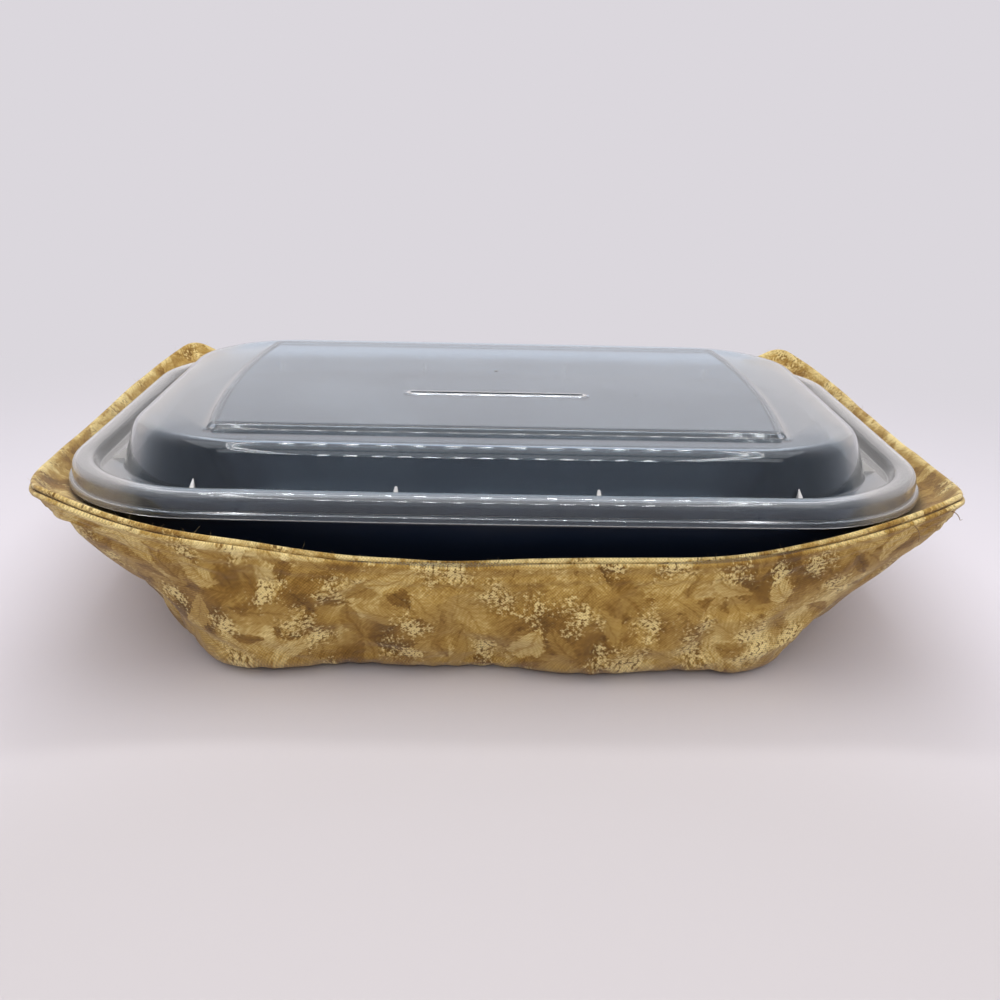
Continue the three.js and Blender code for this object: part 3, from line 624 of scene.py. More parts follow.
def panel_rings(sizes, dome_top, grow, drop):
    """The raised panel's foot, edge and top down to the slot, for one side of the wall."""
    half_length, half_width = sizes.lid_length / 2, sizes.lid_width / 2
    reach_x = half_length - sizes.panel_end_inset + grow
    reach_y = half_width - sizes.panel_side_inset + grow
    low, high = dome_top - drop, dome_top + sizes.panel_rise - drop
    soft = PANEL_EDGE_ROUND
    bulge = ARC_MIDDLE * soft
    rings = []
    for out, height in (
        (4 * soft, low),
        (soft, low),
        (bulge, low + bulge),
        (0, low + soft),
        (-sizes.panel_draft, high - soft),
        (-sizes.panel_draft - bulge, high - bulge),
        (-sizes.panel_draft - soft, high),
        (-sizes.panel_draft - 4 * soft, high),
    ):
        ring = rounded_rectangle(reach_x + out, reach_y + out, PANEL_CORNER)
        bow = sizes.panel_bow * (1 - (ring[:, 1] / (reach_y + out)) ** 2) * ring[:, 0] / (reach_x + out)
        rings.append(np.column_stack([ring[:, 0] + bow, ring[:, 1], np.full(len(ring), height)]))
    return rings


def slot_ring(sizes, grow, height):
    """The steam slot's outline, grown by so much, at a height."""
    half = sizes.slot_width / 2 + grow
    ring = rounded_rectangle((sizes.slot_length - sizes.slot_width) / 2 + half, half, half)
    return np.column_stack([ring[:, 0], ring[:, 1] - sizes.slot_forward, np.full(len(ring), height)])


def snap_lugs(sizes, rings):
    """Swells the skirt into two long lugs on each long side, where it snaps over the tray."""
    middle = lid_rim_top(sizes) - sizes.lid_rim_height + sizes.flange_height + LUG_LIFT
    for ring in rings:
        along = (np.abs(ring[:, 0]) - sizes.lug_offset) / (sizes.lug_length / 2)
        lens = np.sqrt(np.clip(1 - along**2, 0, 1))
        band = hump(middle, LUG_BAND, ring[:, 2])
        edge = smooth(*LONG_SIDE, np.abs(ring[:, 1]) / (sizes.lid_width / 2))
        ring[:, 1] += np.sign(ring[:, 1]) * sizes.lug_rise * lens * band * edge
    return rings


def lid_mesh(sizes):
    """Flanged skirt, rounded rim, channel, dome and raised panel with its slot, as one thin wall."""
    half = sizes.lid_wall / 2
    rim_top = lid_rim_top(sizes)
    bottom = rim_top - sizes.lid_rim_height
    channel = rim_top - sizes.channel_depth
    dome_top = rim_top + sizes.dome_rise
    skirt = half + sizes.flange_step
    plug = skirt + sizes.lid_rim_width
    flange_top = bottom + sizes.flange_height - half
    foot = dome_foot(sizes)
    step = sizes.flange_step / 2
    path = filleted_path([
        (half, bottom + half),
        (half, flange_top, step),
        (skirt, flange_top, step),
        (skirt, rim_top - half, sizes.lid_rim_round),
        (plug, rim_top - half, sizes.lid_rim_round),
        (plug + sizes.channel_draft, channel - half, sizes.channel_round),
        (foot, channel - half, sizes.channel_round),
        (foot + sizes.dome_lean, dome_top - half, sizes.dome_shoulder),
        (foot + sizes.dome_lean + SHOULDER_RUN * sizes.dome_shoulder, dome_top - half),
    ])
    under, upper = wall_rings(sizes, path, sizes.lid_wall)
    panel_top = dome_top + sizes.panel_rise
    lip = sizes.slot_lip_width
    top = panel_rings(sizes, dome_top, 0, 0) + [
        slot_ring(sizes, width * lip, panel_top + rise * sizes.slot_lip_rise)
        for width, rise in LIP_PROFILE
    ]
    inside = panel_rings(sizes, dome_top, -sizes.lid_wall, sizes.lid_wall) + [
        slot_ring(sizes, 2 * lip, panel_top - sizes.lid_wall),
        slot_ring(sizes, 0, panel_top - sizes.lid_wall),
    ]
    rings = snap_lugs(sizes, inside[::-1] + under + upper + top)
    return lofted_mesh("lid_moulding", rings, closed=True)


def dome_foot(sizes):
    """Lid edge in to the foot of the dome."""
    plug = sizes.lid_wall / 2 + sizes.flange_step + sizes.lid_rim_width
    return plug + sizes.channel_draft + sizes.channel_width


GUSSET_MILK = 0.7
MARK_MILK = 0.25
SIDE_GUSSETS = (-1.5, -0.5, 0.5, 1.5)
END_GUSSETS = (-0.5, 0.5)
# How far a gusset sinks into the wall, and its thickness at the foot and the tip as shares
GUSSET_ROOT = 0.4 * MM
GUSSET_FOOT = 2.2
GUSSET_TIP = 0.25
# Marks that the mould's pins leave on the panel: place and radius, in millimetres
PIN_MARKS = ((-40, -14, 0.7), (40, -14, 0.7), (0, 12, 1.1))
MARK_SIDES = 16
MARK_TAPER = 0.6
MARK_DEPTH = 0.7 * MM
MARK_SINK = 0.27 * MM


def gusset_places(sizes):
    """A frame for each gusset: where it stands on the lid's edge, and which way is inward."""
    half_length, half_width = sizes.lid_length / 2, sizes.lid_width / 2
    places = []
    for turn in (0, math.pi):
        for k in SIDE_GUSSETS:
            x = k * sizes.side_gusset_pitch
            edge = half_width - sizes.side_bow * (x / half_length) ** 2
            places.append(Matrix.Rotation(turn, 4, "Z") @ Matrix.Translation((x, -edge, 0)))
        for k in END_GUSSETS:
            stand = Matrix.Translation((-half_length, k * sizes.end_gusset_pitch, 0))
            places.append(Matrix.Rotation(turn, 4, "Z") @ stand @ Matrix.Rotation(-math.pi / 2, 4, "Z"))
    return places


def gusset_mesh(sizes):
    """The gussets and the small moulding marks, as closed bodies that sink into the lid's wall."""
    rim_top = lid_rim_top(sizes)
    floor, rise = rim_top - sizes.channel_depth, sizes.gusset_rise
    foot, root = dome_foot(sizes), GUSSET_ROOT
    lean = sizes.dome_lean * rise / (sizes.channel_depth + sizes.dome_rise)
    outer, half = foot - sizes.gusset_run, sizes.gusset_thickness / 2
    thick, thin = GUSSET_FOOT * half, GUSSET_TIP * half
    profile = [
        (thick, outer, floor - root),
        (thick, foot + root, floor - root),
        (thin, foot + root + lean, floor + rise),
        (thick, outer, floor),
    ]
    build = bmesh.new()
    own_milk = build.faces.layers.float.new("own_milk")
    for place in gusset_places(sizes):
        sides = [
            [build.verts.new(place @ Vector((sign * x, y, z))) for x, y, z in profile]
            for sign in (-1, 1)
        ]
        build.faces.new(sides[0])
        build.faces.new(sides[1][::-1])
        for i in range(4):
            k = (i + 1) % 4
            build.faces.new((sides[0][k], sides[0][i], sides[1][i], sides[1][k]))
    gussets = list(build.faces)
    panel_top = rim_top + sizes.dome_rise + sizes.panel_rise
    for x, y, radius in PIN_MARKS:
        bmesh.ops.create_cone(
            build,
            cap_ends=True,
            segments=MARK_SIDES,
            radius1=radius * MM,
            radius2=MARK_TAPER * radius * MM,
            depth=MARK_DEPTH,
            matrix=Matrix.Translation((x * MM, y * MM, panel_top - MARK_SINK)),
        )
    for face in build.faces:
        face[own_milk] = MARK_MILK
    for face in gussets:
        face[own_milk] = GUSSET_MILK
    bmesh.ops.recalc_face_normals(build, faces=build.faces)
    mesh = bpy.data.meshes.new("lid_gussets")
    build.to_mesh(mesh)
    build.free()
    return mesh


def joined(mesh, extra):
    """The union of two closed meshes."""
    mesh.attributes.new("own_milk", "FLOAT", "FACE")
    pair = [bpy.data.objects.new(m.name, m) for m in (mesh, extra)]
    for piece in pair:
        bpy.context.scene.collection.objects.link(piece)
    union = pair[0].modifiers.new("union", "BOOLEAN")
    union.operation, union.solver, union.object = "UNION", "MANIFOLD", pair[1]
    depsgraph = bpy.context.evaluated_depsgraph_get()
    result = bpy.data.meshes.new_from_object(pair[0].evaluated_get(depsgraph))
    for piece in pair:
        bpy.data.objects.remove(piece)
    if len(result.polygons) < len(mesh.polygons) // 2:
        raise RuntimeError("the lid's gussets did not join its wall")
    return result


# How milky the lid is where each cause is at its strongest: real milkiness on the rim, painted white
# highlight lines on the tight edges, the slot's lip, the shoulder and the panel's ends, and painted light
# from the sides at the ends
MILK_AND_HIGHLIGHT_SHARES = {
    "tight_edges": 0.85,
    "rim": 0.09,
    "outer_ends": 0.19,
    "dome_ends": 0.12,
    "slot_lip": 0.4,
    "shoulder": 0.2,
    "panel_ends": 0.16,
}
# Radii of bend between which an edge turns from clear to milky, drawn as a painted white highlight line
SOFT_BEND, TIGHT_BEND = 1.0 * MM, 0.3 * MM
SMALLEST_AREA = 1e-12
# Fades of milkiness and of painted highlight in millimetres, from none to full: in from the lid's edge, up
# from the rim's or the panel's top, along the lid, or towards its ends
OUTER_INSET = (14, 11)
OUTER_END = (80, 94)
RIM_INSET, RIM_HEIGHT = (8, 6), (-2.5, -1.2)
DOME_INSET, DOME_END = (30, 22), (-2, 8)
SHOULDER_HEIGHT, SHOULDER_END = (-5, -3), (0, 10)
LIP_HEIGHT = (0, 0.1)
# Painted white highlight lines, drawn milky, along the dome's shoulder and the panel's ends, each a place
# and a half width
SHOULDER_LINE = (19 * MM, 1.6 * MM)
PANEL_END_LINE = (0.5 * MM, 1.6 * MM)
# How much of the panel's end and of the slot's lip carries the painted white highlight, and how wide a
# clear edge the slot has
PANEL_END_SHARE, LIP_SHARE = 0.97, 0.9
SLOT_EDGE = 0.1 * MM


def bend_tightness(mesh):
    """How tightly the wall bends at each point, from 0 to 1."""
    build = bmesh.new()
    build.from_mesh(mesh)
    turns = []
    for point in build.verts:
        area = sum(face.calc_area() for face in point.link_faces) / 3
        turn = sum(abs(edge.calc_face_angle(0)) * edge.calc_length() for edge in point.link_edges)
        turns.append(turn / (4 * max(area, SMALLEST_AREA)))
    build.free()
    return smooth(1 / (2 * SOFT_BEND), 1 / (2 * TIGHT_BEND), np.array(turns))


def fade(value, limits):
    """A smooth step from none to full over limits in millimetres."""
    none, full = limits
    return smooth(none * MM, full * MM, value)


def milk_and_highlight_masks(mesh, sizes):
    """Where each cause of milkiness and each painted highlight acts, and how far each point lies outside
    the slot's edge.
    """
    at = np.array([point.co for point in mesh.vertices])
    x, y = np.abs(at[:, :2]).T
    height = at[:, 2]
    half = np.array([sizes.lid_length, sizes.lid_width]) / 2
    past_corner = np.abs(at[:, :2]) - half + sizes.corner_radius
    inset = sizes.corner_radius - np.linalg.norm(np.maximum(past_corner, 0), axis=1)
    endward = past_corner[:, 0] - past_corner[:, 1]
    over_rim = height - lid_rim_top(sizes)
    over_panel = over_rim - sizes.dome_rise - sizes.panel_rise
    outer = fade(inset, OUTER_INSET)
    slot_run = np.maximum(x - (sizes.slot_length - sizes.slot_width) / 2, 0)
    from_slot = np.hypot(slot_run, at[:, 1] + sizes.slot_forward) - sizes.slot_width / 2
    reach = half - (sizes.panel_end_inset, sizes.panel_side_inset)
    across = np.clip(y / reach[1], 0, 1)
    past_panel = x - reach[0] - sizes.panel_bow * (1 - across**2)
    shoulder = hump(*SHOULDER_LINE, inset)
    masks = {
        # Painted white highlight lines where light runs out of tight edges
        "tight_edges": bend_tightness(mesh),
        "rim": fade(inset, RIM_INSET) * fade(over_rim, RIM_HEIGHT),
        # Painted light from the sides: the lid's ends are drawn milkier and lighter
        "outer_ends": outer * fade(x, OUTER_END),
        "dome_ends": (1 - outer) * fade(inset, DOME_INSET) * fade(endward, DOME_END),
        # Painted white highlights along the slot's lip, the dome's shoulder and the panel's ends
        "slot_lip": (from_slot < LIP_SHARE * sizes.slot_lip_width) * fade(over_panel, LIP_HEIGHT),
        "shoulder": shoulder * fade(over_panel, SHOULDER_HEIGHT) * fade(endward, SHOULDER_END),
        "panel_ends": hump(*PANEL_END_LINE, past_panel) * (across < PANEL_END_SHARE),
    }
    return masks, from_slot


def mark_milk_and_highlight(mesh, sizes):
    """Stores how milky the wall is, with its painted highlights: most on tight edges as painted white
    lines, some along the rim, and some at the ends as painted light from the sides.
    """
    masks, from_slot = milk_and_highlight_masks(mesh, sizes)
    milk_and_highlight = np.max([MILK_AND_HIGHLIGHT_SHARES[cause] * mask for cause, mask in masks.items()], axis=0)
    milk_and_highlight[np.abs(from_slot) < SLOT_EDGE] = 0
    corners = np.empty(len(mesh.loops), int)
    mesh.loops.foreach_get("vertex_index", corners)
    sides, own = np.empty(len(mesh.polygons), int), np.empty(len(mesh.polygons))
    mesh.polygons.foreach_get("loop_total", sides)
    mesh.attributes["own_milk"].data.foreach_get("value", own)
    mesh.attributes.remove(mesh.attributes["own_milk"])
    own = np.repeat(own, sides)
    milk_and_highlight = np.where(own > 0, own, milk_and_highlight[corners])
    mesh.attributes.new("milk_and_highlight", "FLOAT", "CORNER").data.foreach_set("value", milk_and_highlight)


# The sewn cozy

SIDE_STATIONS = 64
TIP_STATIONS = 10
END_STATIONS = 46
CURVE_STEPS = 160
# Powers with which the rim swings out and climbs on its way to a tip
SIDE_SWING = 1.6
END_SWING = 4
RIM_CLIMB = 3
# Shares of facing one way between which a station counts as on that side
ONE_SIDE = (0.3, 0.7)
# Heights between which the rim's turn on the base comes in
TURN_HEIGHTS = (12 * MM, 40 * MM)
# Half width of the rim's paler fold: wear, and a painted highlight
WEAR_AND_HIGHLIGHT_WIDTH = 0.8 * MM
BASE_SHARES = (0.15, 0.3, 0.45, 0.6, 0.75, 0.9)


def rim_line(cozy, container):
    """The lining's rim, anticlockwise from the middle of the front.

    With it come each point's share of the way to a tip, and how far it lies on an end.
    """
    half_length, half_width = container.lid_length / 2, container.lid_width / 2
    tip = np.array([half_length - cozy.tip_inset, -half_width - cozy.tip_outset, cozy.tip_height])

    def side(share):
        """A long side's curve, from its middle at 0 to the tip at 1."""
        y = -(half_width - cozy.rim_side_inset) * (1 - share**SIDE_SWING) + tip[1] * share**SIDE_SWING
        z = cozy.rim_side_height * (1 - share**RIM_CLIMB) + tip[2] * share**RIM_CLIMB
        return np.stack([tip[0] * share, y, z], -1)

    def end(share):
        """A short end's curve, from its middle at 0 to the tip at 1."""
        x = (half_length + cozy.rim_end_outset) * (1 - share**END_SWING) + tip[0] * share**END_SWING
        z = cozy.rim_end_height * (1 - share**RIM_CLIMB) + tip[2] * share**RIM_CLIMB
        return np.stack([x, tip[1] * share, z], -1)

    last_side, last_end = 1 - cozy.tip_round / tip[0], 1 + cozy.tip_round / tip[1]
    side_shares = np.linspace(0, 1, SIDE_STATIONS, endpoint=False)
    end_shares = np.linspace(1, 0, END_STATIONS + 1)[1:]
    bend = np.linspace(0, 1, TIP_STATIONS + 1)[:, None]
    start, finish = side(np.array(last_side)), end(np.array(last_end))
    corner = (1 - bend) ** 2 * start + 2 * bend * (1 - bend) * tip + bend**2 * finish
    rim = np.vstack([side(side_shares * last_side), corner, end(end_shares * last_end)])
    to_tip = np.concatenate([side_shares, np.ones(TIP_STATIONS + 1), end_shares])
    on_end = np.concatenate([np.zeros(SIDE_STATIONS), bend.ravel(), np.ones(END_STATIONS)])
    back = slice(None, None, -1)
    quarters, tips, ends = [], [], []
    for x, y, order in ((1, 1, slice(None)), (1, -1, back), (-1, -1, slice(None)), (-1, 1, back)):
        quarters.append((rim * (x, y, 1))[order][:-1])
        tips.append(to_tip[order][:-1])
        ends.append(on_end[order][:-1])
    return np.vstack(quarters), np.concatenate(tips), np.concatenate(ends)


RIPPLES = 22
# Where the front of the base's edge stands out or in, in millimetres: place along it, half width and step
HEM_SWAYS = ((-62, 14, 3.0), (-35, 10, -1.4), (-1, 13, -3.2), (25, 16, 2.4))


class CozyWalls:
    """The lining's face, as upright curves from the flat base to the rim, one at each station."""

    def __init__(self, cozy, container):
        rim, tips, ends = rim_line(cozy, container)
        lean = tips ** (cozy.side_sweep * (1 - ends) + cozy.end_sweep * ends)
        draw = tips**cozy.base_sweep
        mix = lambda side, end, tip, share: (side * (1 - ends) + end * ends) * (1 - share) + tip * share
        fan = np.array([container.lid_length / 2, container.lid_width / 2]) - cozy.fan_inset
        self.foot = np.clip(rim[:, :2], -fan, fan)
        away = rim[:, :2] - self.foot
        reach = np.linalg.norm(away, axis=1)
        self.out = away / reach[:, None]
        edge = cozy.fan_inset - container.tray_base_inset
        flat = edge + mix(cozy.side_flat, cozy.end_flat, cozy.corner_flat, draw)
        fold = edge + mix(cozy.side_fold, cozy.end_fold, cozy.corner_fold, draw)
        run = mix(cozy.side_run, cozy.end_run, cozy.tip_run, lean)
        rise = mix(cozy.side_rise, cozy.end_rise, cozy.tip_rise, lean)
        around = np.linalg.norm(np.roll(rim, -1, 0) - rim, axis=1)
        self.around = np.concatenate([[0], np.cumsum(around)[:-1]]) / around.sum()
        self.left, self.right = (smooth(*ONE_SIDE, sign * self.out[:, 0]) for sign in (-1, 1))
        wander = (cozy.left_spread * self.left - cozy.right_draw * self.right) * draw
        wander = wander - cozy.left_end_draw * self.left * (1 - draw)
        wander = wander + cozy.ripple * waves_round(self, RIPPLES, cozy.seed + 8)
        hem = (self.foot[:, 0] + self.out[:, 0] * flat) / MM
        sways = sum(step * hump(place, width, hem) for place, width, step in HEM_SWAYS)
        wander = wander + sways * MM * smooth(*ONE_SIDE, -self.out[:, 1])
        flat, fold = flat + wander, fold + wander
        run = run + (cozy.left_hollow * self.left - cozy.right_fill * self.right) * lean
        wall = np.full(len(rim), cozy.wall)
        controls = [(flat, wall), (fold, wall), (reach - run, rim[:, 2] - rise), (reach, rim[:, 2])]
        t = np.linspace(0, 1, CURVE_STEPS)
        weights = [(1 - t) ** 3, 3 * t * (1 - t) ** 2, 3 * t**2 * (1 - t), t**3]
        self.curve = sum(np.stack(c, -1)[:, None, :] * w[:, None] for c, w in zip(controls, weights))
        steps = np.linalg.norm(np.diff(self.curve, axis=1), axis=2)
        self.arc = np.hstack([np.zeros((len(rim), 1)), np.cumsum(steps, axis=1)])
        tangent = np.gradient(self.curve, axis=1)
        self.tangent = tangent / np.linalg.norm(tangent, axis=2)[..., None]
        self.length = self.arc[:, -1]
        self.flat = flat
        self.tips = tips
        self.rim = rim
        self.turn = cozy.rim_turn

    def ring(self, drop, depth, lift=0.0):
        """A ring so far below the rim along the wall, and so deep out from the lining's face.

        With it comes its place on the cut cloth, whose third number is how worn the cloth is there, which
        also paints a highlight along the rim's fold.
        """
        drop = np.broadcast_to(np.asarray(drop, float), self.length.shape)
        depth = np.broadcast_to(np.asarray(depth, float), self.length.shape)
        arc = np.clip(self.length - drop, 0, self.length)
        at = np.empty((len(arc), 2))
        run = np.empty((len(arc), 2))
        for i, value in enumerate(arc):
            for k in range(2):
                at[i, k] = np.interp(value, self.arc[i], self.curve[i, :, k])
                run[i, k] = np.interp(value, self.arc[i], self.tangent[i, :, k])
        run /= np.linalg.norm(run, axis=1)[:, None]
        at += np.column_stack([run[:, 1], -run[:, 0]]) * depth[:, None]
        at += run * np.maximum(-drop, 0)[:, None]
        plan = self.foot + self.out * at[:, :1]
        cut = self.foot + self.out * (self.flat + self.length - drop)[:, None]
        height = np.maximum(at[:, 1] + lift, 0)
        turn = self.turn * smooth(*TURN_HEIGHTS, height)
        plan = plan + turn[:, None] * np.column_stack([-plan[:, 1], plan[:, 0]])
        points = np.column_stack([plan, height])
        # Paler along the rim's fold: wear, and a painted highlight
        wear_and_highlight = hump(0, WEAR_AND_HIGHLIGHT_WIDTH, np.maximum(drop, 0))
        return points, np.column_stack([cut, wear_and_highlight])


def base_rings(first):
    """Rings that fill the flat base, from near its middle out to its edge."""
    points, cut = first
    middle, middle_cut = points.mean(0), cut.mean(0)
    return [(middle + (points - middle) * s, middle_cut + (cut - middle_cut) * s) for s in BASE_SHARES]


# Folds of the cloth: how many go round the cozy, and how many millimetres high each is
LONG_FOLDS = (12, 9)
SHORT_FOLDS = (40, 5)
DENTS = (26, 17)
LINING_FOLDS = (40, 9)
# The ridge near the seam allowance's edge and the groove above it: each one's place as a share of the
# allowance, its half width and its height
SEAM_RIDGE = (0.9, 0.8 * MM, 0.34 * MM)
SEAM_GROOVE = (0.5, 1.0 * MM, 0.14 * MM)
# Where a left corner tucks in and is notched, and how far each reaches, as shares of the wall from the rim
TUCK_PLACE = (0.72, 0.1)
NOTCH_PLACE = (0.2, 0.04)
# Depths of the short folds, the dents and the right-hand side's folds, as shares of the full ones
SHORT_SHARE, DENT_SHARE, RIGHT_SHARE = 0.45, 0.4, 0.4
# Depth of the folds along a side, what they gain towards a corner and what they lose again at its tip
SIDE_DEPTH, CORNER_GAIN, TIP_LOSS = 0.45, 0.8, 0.7
# How near to a tip its folds flatten and its tuck begins, from 0 along the sides to 1 at the tip
FLAT_TIP, TUCKED_TIP = (0.85, 1.0), (0.8, 1.0)
# Shares of the wall over which the swelling and the folds die away above the base
SWELL_END, FOLD_END = (1.0, 0.75), (1.0, 0.85)


def waves_round(walls, count, seed):
    """So many soft waves round the cozy, from -1 to 1."""
    return cloth_noise(walls.around * count, 0.0, count, seed)


def folds_round(walls, drop, kind, seed):
    """Soft folds of one kind at a level, from -1 to 1."""
    count, height = kind
    return cloth_noise(walls.around * count, drop / (height * MM), count, seed)


def creases(walls, drop, cozy):
    """How far the outer face stands out at a level.

    The wadding puffs it, the seam leaves a ridge, and creases run along the rim, deepest short of each tip.
    """
    share = np.clip(drop / walls.length, 0, 1)
    allowance = cozy.seam_allowance
    swell = cozy.puff * smooth(allowance, 3 * allowance, drop) * smooth(*SWELL_END, share)
    ridge, groove = (
        height * hump(place * allowance, width, drop) for place, width, height in (SEAM_RIDGE, SEAM_GROOVE)
    )
    long_folds = folds_round(walls, drop, LONG_FOLDS, cozy.seed)
    short_folds = folds_round(walls, drop, SHORT_FOLDS, cozy.seed + 1)
    dents = folds_round(walls, drop, DENTS, cozy.seed + 2)
    near_corner = SIDE_DEPTH + CORNER_GAIN * smooth(*ONE_SIDE, walls.tips)
    near_corner = near_corner - TIP_LOSS * smooth(*FLAT_TIP, walls.tips)
    below_seam = smooth(allowance / 2, 2 * allowance, drop) * smooth(*FOLD_END, share)
    smoother = 1 - (1 - RIGHT_SHARE) * walls.right
    folds = cozy.wrinkle * (long_folds + SHORT_SHARE * short_folds) * near_corner * smoother
    folds = folds + DENT_SHARE * cozy.puff * dents
    tuck = cozy.tuck * hump(*TUCK_PLACE, share) + cozy.notch * hump(*NOTCH_PLACE, share)
    tuck = tuck * walls.left * smooth(*TUCKED_TIP, walls.tips)
    return swell + (ridge - groove) + folds * below_seam - tuck


# Where the front of the rim sags or stands up, in millimetres: place along it, half width and fall
FRONT_SAGS = ((-62, 20, -1.9), (-11, 20, 1.5), (56, 16, 1.0))
FRONT_FALL = 0.4
# How squarely the rim faces the front where its sags begin and where they are full
FACING_FRONT = (0.5, 0.9)
# Slow waves and quick twitches round the rim, each a count and a fall in millimetres
RIM_WAVES, WAVE_FALL = 16, 0.6
RIM_TWITCHES, TWITCH_FALL = 60, 0.15
HEM_WAVES = 30
HEM_LIFT = 1.3 * MM
HEM_HEIGHT = 14 * MM
# Parts of a hem wave, from -1 to 1, over which it leaves the floor
HEM_RISE = (-0.2, 1)


def rim_wave(walls, cozy):
    """How far the sewn rim wanders up and down along its length, as a fall."""
    slow = waves_round(walls, RIM_WAVES, cozy.seed + 5)
    quick = waves_round(walls, RIM_TWITCHES, cozy.seed + 6)
    along = walls.rim[:, 0] / MM
    sags = FRONT_FALL + sum(fall * hump(place, width, along) for place, width, fall in FRONT_SAGS)
    front = smooth(*FACING_FRONT, -walls.out[:, 1])
    return (WAVE_FALL * slow + TWITCH_FALL * quick + sags * front) * MM


def hem_lift(walls, drop, cozy):
    """How far the base's edge lifts off the floor in soft waves."""
    wave = smooth(*HEM_RISE, waves_round(walls, HEM_WAVES, cozy.seed + 9))
    return HEM_LIFT * wave * hump(0, HEM_HEIGHT, walls.length - drop)


def roll_rings(walls, near, far, rise, wave):
    """Rings of a fabric's roll over the rim, from one depth to another."""
    middle, radius = (near + far) / 2, (far - near) / 2
    rings = []
    for turn in np.linspace(0, math.pi, ROLL_STEPS):
        drop = abs(radius) - (abs(radius) + rise) * math.sin(turn)
        rings.append(walls.ring(drop + wave, middle - radius * math.cos(turn)))
    return rings


WALL_LEVELS = 46
SEAM_LEVELS = 14
ROLL_STEPS = 11
HIDDEN_LEVELS = 20
# Half of the gap between the cover's padding and the lining's
PADDING_GAP = 0.12 * MM
# How much higher the lining's roll stands than the cover's, and how far its face gives under the tray
LINING_LIFT = 0.7 * MM
LINING_GIVE = 0.35 * MM
# Where the lining is cut from, on the same cloth as the cover
LINING_CUT = (0.31, 0.17, 0)
HELD_BASE_LEVELS = 8
SETTLE_FRAMES = 15
CLOTH_BENDING = 3.0
SMALLEST_MOVE = 1e-9
# Seam allowances below the rim between which the wall is pressed thin, and the cloth is let go or held
PRESSED_SPAN = (0.8, 1.9)
HELD_SPAN = (1.8, 0.9)
# The slack's reach is cut by this share at a corner, over these values of its nearness
TIP_HOLD, HELD_TIP = 0.75, (0.75, 0.95)


def level_drops(walls, cozy):
    """Levels from the base's edge up to the roll of the rim."""
    pressed = 2 * cozy.seam_allowance
    roll = cozy.seam / 4
    wall = [walls.length + (pressed - walls.length) * s for s in np.linspace(0, 1, WALL_LEVELS)]
    seam = [np.full(walls.length.shape, d) for d in np.linspace(pressed, roll, SEAM_LEVELS + 1)[1:-1]]
    return wall + seam


def pressed_depth(cozy, drop, full, pressed):
    """A depth that changes from the padded wall's to the pressed seam's on the way up to the rim."""
    pressed_at, full_at = (share * cozy.seam_allowance for share in PRESSED_SPAN)
    share = smooth(pressed_at, full_at, drop)
    return pressed + (full - pressed) * share


def slackened(rings, held, slack, cap):
    """The rings after their cloth, cut larger by its slack, has settled between the points that are held.

    A cloth simulation of every second point gives the movement, which no point takes further than its cap.
    """
    coarse = rings[::2, ::2]
    index = np.arange(coarse.shape[0] * coarse.shape[1]).reshape(coarse.shape[:2])
    ahead = np.roll(index, -1, 1)
    quads = np.stack([index[:-1], ahead[:-1], ahead[1:], index[1:]], -1)
    mesh = bpy.data.meshes.new("slack_cloth")
    mesh.from_pydata(coarse.reshape(-1, 3).tolist(), [], quads.reshape(-1, 4).tolist())
    piece = bpy.data.objects.new("slack_cloth", mesh)
    scene = bpy.context.scene
    scene.collection.objects.link(piece)
    group = piece.vertex_groups.new(name="held")
    for i, weight in enumerate(held[::2, ::2].ravel()):
        group.add([i], float(weight), "REPLACE")
    cloth = piece.modifiers.new("cloth", "CLOTH")
    cloth.settings.vertex_group_mass = group.name
    cloth.settings.shrink_min = -slack
    cloth.settings.bending_stiffness = CLOTH_BENDING
    cloth.settings.effector_weights.gravity = 0
    cloth.collision_settings.use_collision = False
    cloth.point_cache.frame_start, cloth.point_cache.frame_end = 1, SETTLE_FRAMES
    for step in range(SETTLE_FRAMES):
        scene.frame_set(step + 1)
    settled = piece.evaluated_get(bpy.context.evaluated_depsgraph_get()).to_mesh()
    moved = np.array([point.co for point in settled.vertices]).reshape(coarse.shape) - coarse
    scene.frame_set(1)
    bpy.data.objects.remove(piece)
    bpy.data.meshes.remove(mesh)
    far = np.maximum(np.linalg.norm(moved, axis=2, keepdims=True), SMALLEST_MOVE)
    moved *= cap[::2, ::2, None] * np.tanh(far / cap[::2, ::2, None]) / far
    full = np.zeros(rings.shape)
    full[::2, ::2] = moved
    full[::2, 1::2] = (moved + np.roll(moved, -1, 1)) / 2
    full[1::2] = (full[:-1:2] + full[2::2]) / 2
    return np.maximum(rings + full, (-np.inf, -np.inf, 0))


def hidden_rings(walls, cozy, aside):
    """Rings inside the wall where the paddings meet, from the rim down, moved aside by so much.

    They draw in by half of what a fold in the outer face takes.
    """
    middle, top = cozy.seam_outset + cozy.seam / 2, cozy.seam / 4
    rings = []
    for share in np.linspace(0, 1, HIDDEN_LEVELS):
        drop = top + (walls.length - top) * share
        depth = pressed_depth(cozy, drop, cozy.wall / 2, middle)
        depth = depth + np.minimum(creases(walls, drop, cozy), 0) / 2
        rings.append(walls.ring(drop, depth + aside))
    return rings


